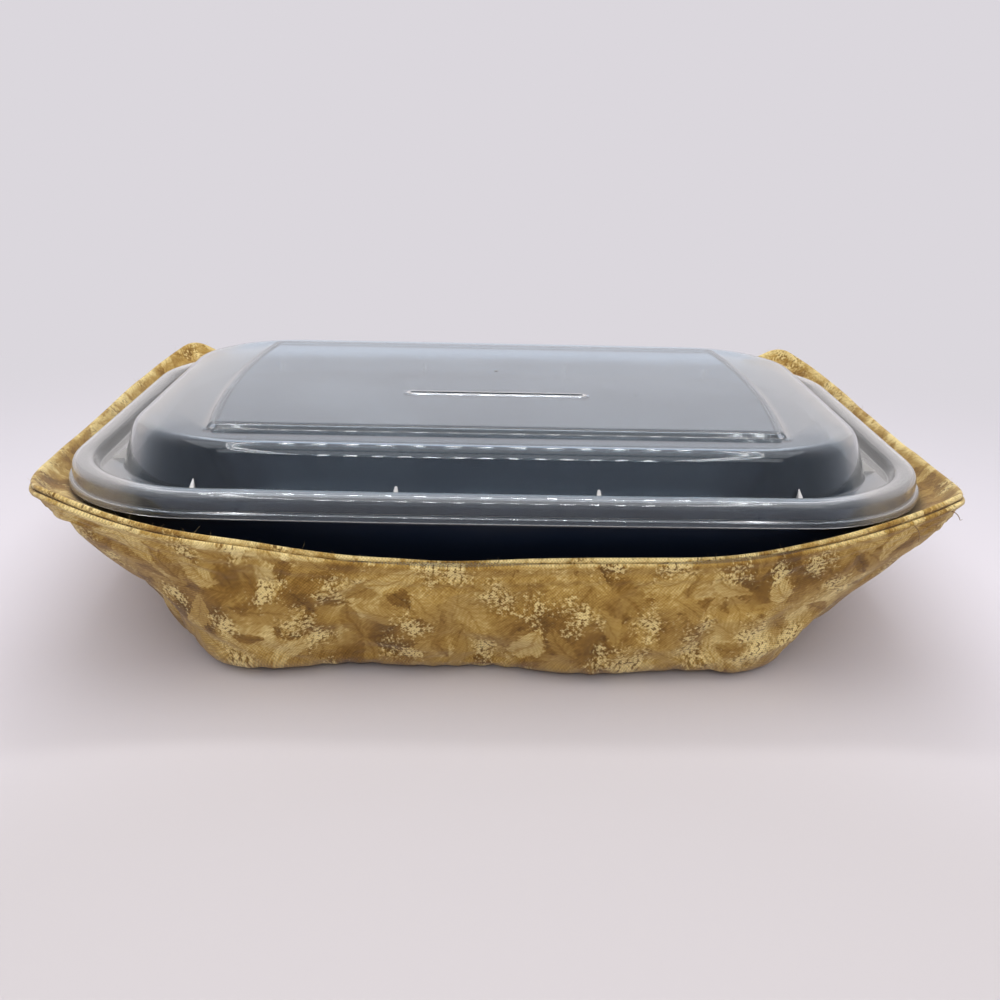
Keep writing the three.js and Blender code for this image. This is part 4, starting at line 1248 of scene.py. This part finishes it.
def cover_mesh(cozy, container):
    """The outer cotton with its wadding: a face that puffs and creases, rolled over at the rim seam."""
    walls = CozyWalls(cozy, container)
    wave = rim_wave(walls, cozy)
    allowance = cozy.seam_allowance
    seam_face = cozy.seam_outset + cozy.seam
    drops = level_drops(walls, cozy)
    outer = []
    for drop in drops:
        depth = pressed_depth(cozy, drop, cozy.wall, seam_face) + creases(walls, drop, cozy)
        fall = drop + wave * smooth(4 * allowance, 0, drop)
        outer.append(walls.ring(fall, depth, hem_lift(walls, drop, cozy)))
    faces, cut = (np.array(part) for part in zip(*outer))
    rim_hold = smooth(*(share * allowance for share in HELD_SPAN), np.array(drops))
    base_hold = np.clip(1 - np.arange(len(drops)) / HELD_BASE_LEVELS, 0, 1)
    reach = cozy.slack_reach * (1 - TIP_HOLD * smooth(*HELD_TIP, walls.tips))
    cap = np.broadcast_to(reach, rim_hold.shape)
    faces = slackened(faces, np.maximum(rim_hold, base_hold[:, None]), cozy.slack, cap)
    outer = list(zip(faces, cut))
    middle = cozy.seam_outset + cozy.seam / 2
    roll = roll_rings(walls, seam_face, middle + PADDING_GAP, cozy.roll_rise, wave)
    hidden = hidden_rings(walls, cozy, PADDING_GAP)
    levels = base_rings(outer[0]) + outer + roll + hidden + base_rings(hidden[-1])[::-1]
    rings, cut = zip(*levels)
    return lofted_mesh("cozy_cover", rings, cut=np.array(cut))


def pressed_out(rings, container):
    """The rings, moved out to the tray's outside wherever they would pass into it."""
    neck = tray_top(container) - container.tray_neck_depth
    below_rim = list(takewhile(lambda ring: ring[0, 2] < neck, tray_rings(container)[0]))
    tray = lofted_mesh("tray_outside", below_rim)
    points = [vertex.co.copy() for vertex in tray.vertices]
    # The loft's end caps are triangles, and only its wall says which side is outside
    wall = [tuple(face.vertices) for face in tray.polygons if len(face.vertices) == 4]
    bpy.data.meshes.remove(tray)
    outside = BVHTree.FromPolygons(points, wall)
    gap = container.clearance / 2
    moved = np.array(rings)
    for place in np.ndindex(moved.shape[:2]):
        point = Vector(moved[place])
        nearest, normal, _, distance = outside.find_nearest(point)
        if point.z < neck and (distance < gap or (point - nearest).dot(normal) < 0):
            moved[place] = nearest + normal * gap
    return moved


def lining_mesh(cozy, container):
    """The inner cotton with its wadding: the face that holds the tray, rolled over at the rim seam."""
    walls = CozyWalls(cozy, container)
    wave = rim_wave(walls, cozy) - LINING_LIFT
    allowance = cozy.seam_allowance
    inner = []
    for drop in level_drops(walls, cozy):
        soft = folds_round(walls, drop, LINING_FOLDS, cozy.seed + 3)
        depth = pressed_depth(cozy, drop, 0.0, cozy.seam_outset)
        depth = depth + LINING_GIVE * (1 + soft) * smooth(0, 3 * allowance, drop)
        inner.append(walls.ring(drop + wave * smooth(4 * allowance, 0, drop), depth))
    faces, cut = zip(*inner)
    inner = list(zip(pressed_out(faces, container), cut))
    middle = cozy.seam_outset + cozy.seam / 2
    roll = roll_rings(walls, cozy.seam_outset, middle - PADDING_GAP, cozy.roll_rise, wave)
    hidden = hidden_rings(walls, cozy, -PADDING_GAP)
    levels = base_rings(hidden[-1]) + hidden[::-1] + roll[::-1] + inner[::-1] + base_rings(inner[0])[::-1]
    rings, cut = zip(*levels)
    return lofted_mesh("cozy_lining", rings, cut=np.array(cut) + LINING_CUT)


FIBRE_TAPER = 0.6
# A direction that no fibre runs in
ASLANT = (0.3, 0.2, 0.9)


def fibre_mesh(name, lines, radius):
    """Thin three-sided fibres along lines of points, tapering to a point."""
    points, faces = [], []
    for line in lines:
        line = np.asarray(line)
        run = np.gradient(line, axis=0)
        run /= np.linalg.norm(run, axis=1)[:, None]
        aside = np.cross(run, ASLANT)
        aside /= np.linalg.norm(aside, axis=1)[:, None]
        across = np.cross(run, aside)
        first = len(points)
        for i in range(len(line) - 1):
            width = radius * (1 - FIBRE_TAPER * i / (len(line) - 1))
            for turn in (0, 2 * math.pi / 3, 4 * math.pi / 3):
                points.append(line[i] + width * (aside[i] * math.cos(turn) + across[i] * math.sin(turn)))
        points.append(line[-1])
        tip = len(points) - 1
        faces.append((first + 2, first + 1, first))
        for i in range(len(line) - 2):
            a = first + 3 * i
            for k in range(3):
                n = (k + 1) % 3
                faces.append((a + k, a + n, a + 3 + n, a + 3 + k))
        a = tip - 3
        faces += [(a, a + 1, tip), (a + 1, a + 2, tip), (a + 2, a, tip)]
    mesh = bpy.data.meshes.new(name)
    mesh.from_pydata([tuple(p) for p in points], [], faces)
    mesh.shade_smooth()
    return mesh


LINT_COUNT = 700
LINT_POINTS = 5
LINT_RADIUS = 0.03 * MM
# How far from the roll's crest a fibre starts, how deep its root lies and how long it is, in millimetres
LINT_SPREAD = 0.6
LINT_ROOT = 0.5
LINT_LENGTHS = (0.5, 1.9)
# How a fibre's heading scatters, how much it turns upright, and how it curls
LINT_SCATTER = (1, 1, 0.4)
LINT_UPRIGHT = (0, 0, 1.3)
LINT_CURL = 0.7
LINT_BEND = 0.6


def lint_lines(cozy, container):
    """Stray fibres that stand off the roll of the rim."""
    draw = np.random.default_rng(cozy.seed + 20)
    walls = CozyWalls(cozy, container)
    crest, _ = walls.ring(-cozy.roll_rise + rim_wave(walls, cozy), cozy.seam_outset + cozy.seam / 4)
    shares = np.linspace(0, 1, LINT_POINTS)[:, None]
    lines = []
    for _ in range(LINT_COUNT):
        start = crest[draw.integers(len(crest))] + draw.uniform(-LINT_SPREAD, LINT_SPREAD, 3) * MM
        start = start - (0, 0, LINT_ROOT * MM)
        heading = draw.normal(size=3) * LINT_SCATTER + LINT_UPRIGHT
        heading /= np.linalg.norm(heading)
        bend = draw.normal(size=3) * LINT_CURL
        reach = draw.uniform(*LINT_LENGTHS) * MM
        lines.append(start + heading * shares * reach + bend * shares**2 * reach * LINT_BEND)
    return lines


THREAD_POINTS = 8
THREAD_RADIUS = 0.14 * MM
THREAD_LENGTH = 3.2 * MM
THREAD_DROP = 1.5 * MM
# Width of a cut end's curl, and how far round it turns
THREAD_CURL = 0.6 * MM
THREAD_TURN = 5
# The station that each cut end hangs from, and its heading
THREAD_ENDS = ((SIDE_STATIONS + 4, (0.9, -0.5, -0.3)), (SIDE_STATIONS - 3, (0.5, -0.6, -0.9)))


def thread_lines(cozy, container):
    """Cut ends of the sewing thread that hang from the right-hand front tip."""
    walls = CozyWalls(cozy, container)
    seam, _ = walls.ring(THREAD_DROP, cozy.seam_outset + cozy.seam)
    shares = np.linspace(0, 1, THREAD_POINTS)[:, None]
    turn = THREAD_TURN * shares
    curl = np.column_stack([np.sin(turn), 0 * shares, np.cos(turn) - 1])
    return [
        seam[station] + THREAD_LENGTH * shares * heading + THREAD_CURL * curl
        for station, heading in THREAD_ENDS
    ]


def cotton(finishes):
    """The cloth of both faces, made once."""
    return bpy.data.materials.get("cotton_plain_weave_printed") or printed_cotton(finishes)


def settings(context):
    """The sizes of the cozy and of the container, and the finishes."""
    scene = context.scene
    return scene.cozy_sizes, scene.container_sizes, scene.cozy_finishes


# Angles past which the mouldings' edges stay sharp
TRAY_EDGE = math.radians(40)
LID_EDGE = math.radians(28)


class COZY_OT_cover(bpy.types.Operator):
    """Builds the padded outer cover"""

    bl_idname = "cozy.cover"
    bl_label = "Outer cover"
    bl_options = {"REGISTER", "UNDO"}

    def execute(self, context):
        cozy, container, finishes = settings(context)
        mesh = cover_mesh(cozy, container)
        nodes = ("outer_cover", "outer_wadding")
        piece = add_piece("cozy_cover", mesh, "cozy", "printed_cotton", cotton(finishes), *nodes)
        return {"FINISHED"}


class COZY_OT_lining(bpy.types.Operator):
    """Builds the padded lining"""

    bl_idname = "cozy.lining"
    bl_label = "Lining"
    bl_options = {"REGISTER", "UNDO"}

    def execute(self, context):
        cozy, container, finishes = settings(context)
        mesh = lining_mesh(cozy, container)
        nodes = ("lining", "lining_wadding")
        piece = add_piece("cozy_lining", mesh, "cozy", "printed_cotton", cotton(finishes), *nodes)
        return {"FINISHED"}


class COZY_OT_tray(bpy.types.Operator):
    """Builds the black moulded tray"""

    bl_idname = "cozy.tray"
    bl_label = "Tray"
    bl_options = {"REGISTER", "UNDO"}

    def execute(self, context):
        _, container, finishes = settings(context)
        mesh = tray_mesh(container)
        mesh.set_sharp_from_angle(angle=TRAY_EDGE)
        plastic = black_polypropylene(finishes)
        add_piece("tray_moulding", mesh, "tray", "black_polypropylene", plastic, "tray")
        return {"FINISHED"}


class COZY_OT_lid(bpy.types.Operator):
    """Builds the clear moulded lid"""

    bl_idname = "cozy.lid"
    bl_label = "Lid"
    bl_options = {"REGISTER", "UNDO"}

    def execute(self, context):
        _, container, finishes = settings(context)
        mesh = joined(lid_mesh(container), gusset_mesh(container))
        mesh.name = "lid_moulding"
        mesh.shade_smooth()
        mesh.set_sharp_from_angle(angle=LID_EDGE)
        mark_milk_and_highlight(mesh, container)
        mesh.materials.clear()
        plastic = hazy_polypropylene(finishes)
        add_piece("lid_moulding", mesh, "lid", "hazy_polypropylene", plastic, "lid")
        return {"FINISHED"}


class COZY_OT_lint(bpy.types.Operator):
    """Builds the stray fibres along the rim and the cut ends of thread"""

    bl_idname = "cozy.lint"
    bl_label = "Lint"
    bl_options = {"REGISTER", "UNDO"}

    def execute(self, context):
        cozy, container, finishes = settings(context)
        mesh = fibre_mesh("rim_lint", lint_lines(cozy, container), LINT_RADIUS)
        lint = matt_fibre("cotton_lint_loose", finishes.lint)
        add_piece("rim_lint", mesh, "cozy", "printed_cotton", lint)
        mesh = fibre_mesh("thread_ends", thread_lines(cozy, container), THREAD_RADIUS)
        thread = matt_fibre("cotton_thread_spun", finishes.thread)
        add_piece("thread_ends", mesh, "cozy", "printed_cotton", thread)
        return {"FINISHED"}


# The stage

FLOOR_RADIUS = 6
FLOOR_SIDES = 96
FLOOR_DROP = 0.2 * MM
# The front of the floor, painted darker as painted shade: its middle, and the distances over which the
# painted shade pales away and then the floor fades away
FLOOR_FRONT = (0, -0.25, 0)
PAINTED_SHADE_FADE = (0.13, 0.26)
FADING = (0.27, 0.6)
# Each softbox's name, place, tilt in degrees, size and power in watts
SOFTBOXES = (
    ("overhead_softbox", (0.0, -0.1, 1.1), 0, (1.5, 1.1), 5.6),
    ("back_softbox", (0.0, 1.6, 0.7), -80, (2.6, 0.9), 1.8),
    ("front_fill", (0.1, -1.2, 1.1), 50, (1.6, 0.6), 3.8),
)
# The frame of small lamps: where its front and back rows hang, and its side strips in millimetres
FRONT_ROW, BACK_ROW = (-0.6, 0.337), (0.138, 0.5)
LAMPS_IN_ROW = 13
LAMP_PITCH = 23 * MM
LAMP_SIZE = (7 * MM, 60 * MM)
LAMP_POWER = 0.04
SIDE_STRIPS = (-175, -160, 160, 175)
STRIP_WIDTH = 3 * MM
STRIP_POWER = 0.17
ROOM_LIGHT = 0.68
CAMERA_PLACE = (-4.5 * MM, -327.03 * MM, 142.02 * MM)
CAMERA_YAW, CAMERA_PITCH, CAMERA_ROLL = math.radians(1.13), math.radians(19.88), math.radians(1.36)
SENSOR_WIDTH = 36.0
FOCAL_LENGTH = 40.5


def pale_floor(finishes):
    """Matt paper.

    Its front is painted darker as painted shade, which pales away from the front; it fades to the far
    background and keeps the object's shadow.
    """
    material, tree, output = new_material("paper_matt_sweep")
    place = add_node(tree, "TexCoord", out="Object")
    away = add_node(tree, "VectorMath", {0: place, 1: FLOOR_FRONT}, "Value", operation="DISTANCE")
    eased = {"interpolation_type": "SMOOTHSTEP"}
    pale = add_node(tree, "MapRange", {"Value": away, 1: PAINTED_SHADE_FADE[0], 2: PAINTED_SHADE_FADE[1]}, **eased)
    far = add_node(tree, "MapRange", {"Value": away, 1: FADING[0], 2: FADING[1]}, **eased)
    # Painted shade: the darker paper tone at the front pales to the backdrop's tone
    tones = {"Factor": pale, 6: opaque(finishes.paper_painted_shade), 7: opaque(finishes.backdrop)}
    tone = add_node(tree, "Mix", tones, 2, data_type="RGBA")
    fibres = add_node(tree, "TexNoise", {"Vector": place, "Scale": per(0.8), "Detail": 2.0})
    bump = add_node(tree, "Bump", {"Height": fibres, "Strength": 0.05, "Distance": 0.02 * MM})
    paper_painted_shade = {"Base Color": tone, "Roughness": 0.85, "Specular IOR Level": 0.2, "Normal": bump}
    near = add_node(tree, "BsdfPrincipled", paper_painted_shade)
    glow = add_node(tree, "Emission", {"Color": opaque(finishes.backdrop), "Strength": 1.0})
    tree.links.new(add_node(tree, "MixShader", {0: far, 1: near, 2: glow}), output.inputs[0])
    return material


def add_floor(scene, finishes):
    """A round sheet of paper just below the cozy."""
    mesh = bpy.data.meshes.new("floor")
    turns = np.arange(FLOOR_SIDES) * 2 * math.pi / FLOOR_SIDES
    edge = [(FLOOR_RADIUS * math.cos(t), FLOOR_RADIUS * math.sin(t), -FLOOR_DROP) for t in turns]
    mesh.from_pydata(edge, [], [list(range(FLOOR_SIDES))])
    mesh.materials.append(pale_floor(finishes))
    floor = bpy.data.objects.new("floor", mesh)
    scene.collection.objects.link(floor)


def add_light(scene, name, place, tilt, size, power):
    """A flat rectangular light, tilted about the length."""
    lamp = bpy.data.lights.new(name, "AREA")
    lamp.shape, lamp.size, lamp.size_y = "RECTANGLE", *size
    lamp.energy = power
    light = bpy.data.objects.new(name, lamp)
    light.location, light.rotation_euler = place, (tilt, 0, 0)
    scene.collection.objects.link(light)


def add_lamp_frame(scene):
    """A frame of small lamps overhead, which leaves rows of dashes and side streaks on glossy edges."""
    for name, (y, z) in (("front", FRONT_ROW), ("back", BACK_ROW)):
        for i in range(LAMPS_IN_ROW):
            place = ((i - (LAMPS_IN_ROW - 1) / 2) * LAMP_PITCH, y, z)
            add_light(scene, f"{name}_lamp_{i}", place, math.atan2(-y, z), LAMP_SIZE, LAMP_POWER)
    run, rise = BACK_ROW[0] - FRONT_ROW[0], BACK_ROW[1] - FRONT_ROW[1]
    middle = ((FRONT_ROW[0] + BACK_ROW[0]) / 2, (FRONT_ROW[1] + BACK_ROW[1]) / 2)
    strip = (STRIP_WIDTH, math.hypot(run, rise))
    for x in SIDE_STRIPS:
        add_light(scene, f"side_strip_{x}", (x * MM, *middle), math.atan2(rise, run), strip, STRIP_POWER)


def add_room(scene, finishes):
    """Even light from all round, with a plain background."""
    world = bpy.data.worlds.new("soft_room")
    scene.world = world
    world.use_nodes = True
    tree = world.node_tree
    tree.nodes.clear()
    output = tree.nodes.new("ShaderNodeOutputWorld")
    tone = opaque(finishes.backdrop)
    seen = add_node(tree, "LightPath", out="Is Camera Ray")
    through = add_node(tree, "LightPath", out="Is Transmission Ray")
    seen = add_node(tree, "Math", {0: seen, 1: through}, operation="MAXIMUM")
    light = add_node(tree, "Background", {"Color": tone, "Strength": ROOM_LIGHT})
    view = add_node(tree, "Background", {"Color": tone, "Strength": 1.0})
    # The room is pale behind the object and dim on the side that the camera stands on
    depth = add_node(tree, "TexCoord", out="Generated")
    depth = add_node(tree, "SeparateXYZ", {0: depth}, "Y")
    depth = add_node(tree, "MapRange", {"Value": depth, 1: -0.5, 2: 0.3, 3: 0.25, 4: 1.0})
    mirrored = add_node(tree, "Background", {"Color": tone, "Strength": depth})
    glossy = add_node(tree, "LightPath", out="Is Glossy Ray")
    room = add_node(tree, "MixShader", {0: glossy, 1: light, 2: mirrored})
    tree.links.new(add_node(tree, "MixShader", {0: seen, 1: room, 2: view}), output.inputs[0])


def add_camera(scene):
    """The camera in front, a little above and a little turned."""
    level = np.array([math.cos(CAMERA_YAW), -math.sin(CAMERA_YAW), 0])
    ahead = np.array([math.sin(CAMERA_YAW), math.cos(CAMERA_YAW), 0]) * math.cos(CAMERA_PITCH)
    ahead[2] = -math.sin(CAMERA_PITCH)
    upright = np.cross(level, ahead)
    right = math.cos(CAMERA_ROLL) * level + math.sin(CAMERA_ROLL) * upright
    up = -math.sin(CAMERA_ROLL) * level + math.cos(CAMERA_ROLL) * upright
    lens = bpy.data.cameras.new("camera")
    lens.sensor_width, lens.lens = SENSOR_WIDTH, FOCAL_LENGTH
    camera = bpy.data.objects.new("camera", lens)
    axes = np.eye(4)
    axes[:3, 0], axes[:3, 1], axes[:3, 2], axes[:3, 3] = right, up, -ahead, CAMERA_PLACE
    camera.matrix_world = Matrix(axes.tolist())
    scene.collection.objects.link(camera)
    scene.camera = camera


class COZY_OT_stage(bpy.types.Operator):
    """Builds the floor, the soft light and the camera"""

    bl_idname = "cozy.stage"
    bl_label = "Stage"
    bl_options = {"REGISTER", "UNDO"}

    def execute(self, context):
        scene, finishes = context.scene, context.scene.cozy_finishes
        add_floor(scene, finishes)
        for name, place, tilt, size, power in SOFTBOXES:
            add_light(scene, name, place, math.radians(tilt), size, power)
        add_lamp_frame(scene)
        add_room(scene, finishes)
        add_camera(scene)
        scene.view_settings.view_transform = "Standard"
        return {"FINISHED"}


BUILD_STEPS = ("cover", "lining", "tray", "lid", "lint", "stage")


class COZY_PT_build(bpy.types.Panel):
    """Lists the build buttons"""

    bl_label = "Container cozy"
    bl_idname = "COZY_PT_build"
    bl_space_type = "VIEW_3D"
    bl_region_type = "UI"
    bl_category = "Cozy"

    def draw(self, context):
        for step in BUILD_STEPS:
            self.layout.operator(f"cozy.{step}")


CLASSES = (
    ContainerSizes,
    CozySizes,
    Finishes,
    COZY_OT_cover,
    COZY_OT_lining,
    COZY_OT_tray,
    COZY_OT_lid,
    COZY_OT_lint,
    COZY_OT_stage,
    COZY_PT_build,
)


def register():
    """Adds the classes, and the sizes and finishes to the scene."""
    for item in CLASSES:
        bpy.utils.register_class(item)
    bpy.types.Scene.container_sizes = PointerProperty(type=ContainerSizes)
    bpy.types.Scene.cozy_sizes = PointerProperty(type=CozySizes)
    bpy.types.Scene.cozy_finishes = PointerProperty(type=Finishes)


def unregister():
    """Takes away what register adds."""
    del bpy.types.Scene.cozy_finishes
    del bpy.types.Scene.cozy_sizes
    del bpy.types.Scene.container_sizes
    for item in reversed(CLASSES):
        bpy.utils.unregister_class(item)


def main():
    """Builds every piece in order."""
    register()
    for step in BUILD_STEPS:
        getattr(bpy.ops.cozy, step)()


if __name__ == "__main__":
    main()
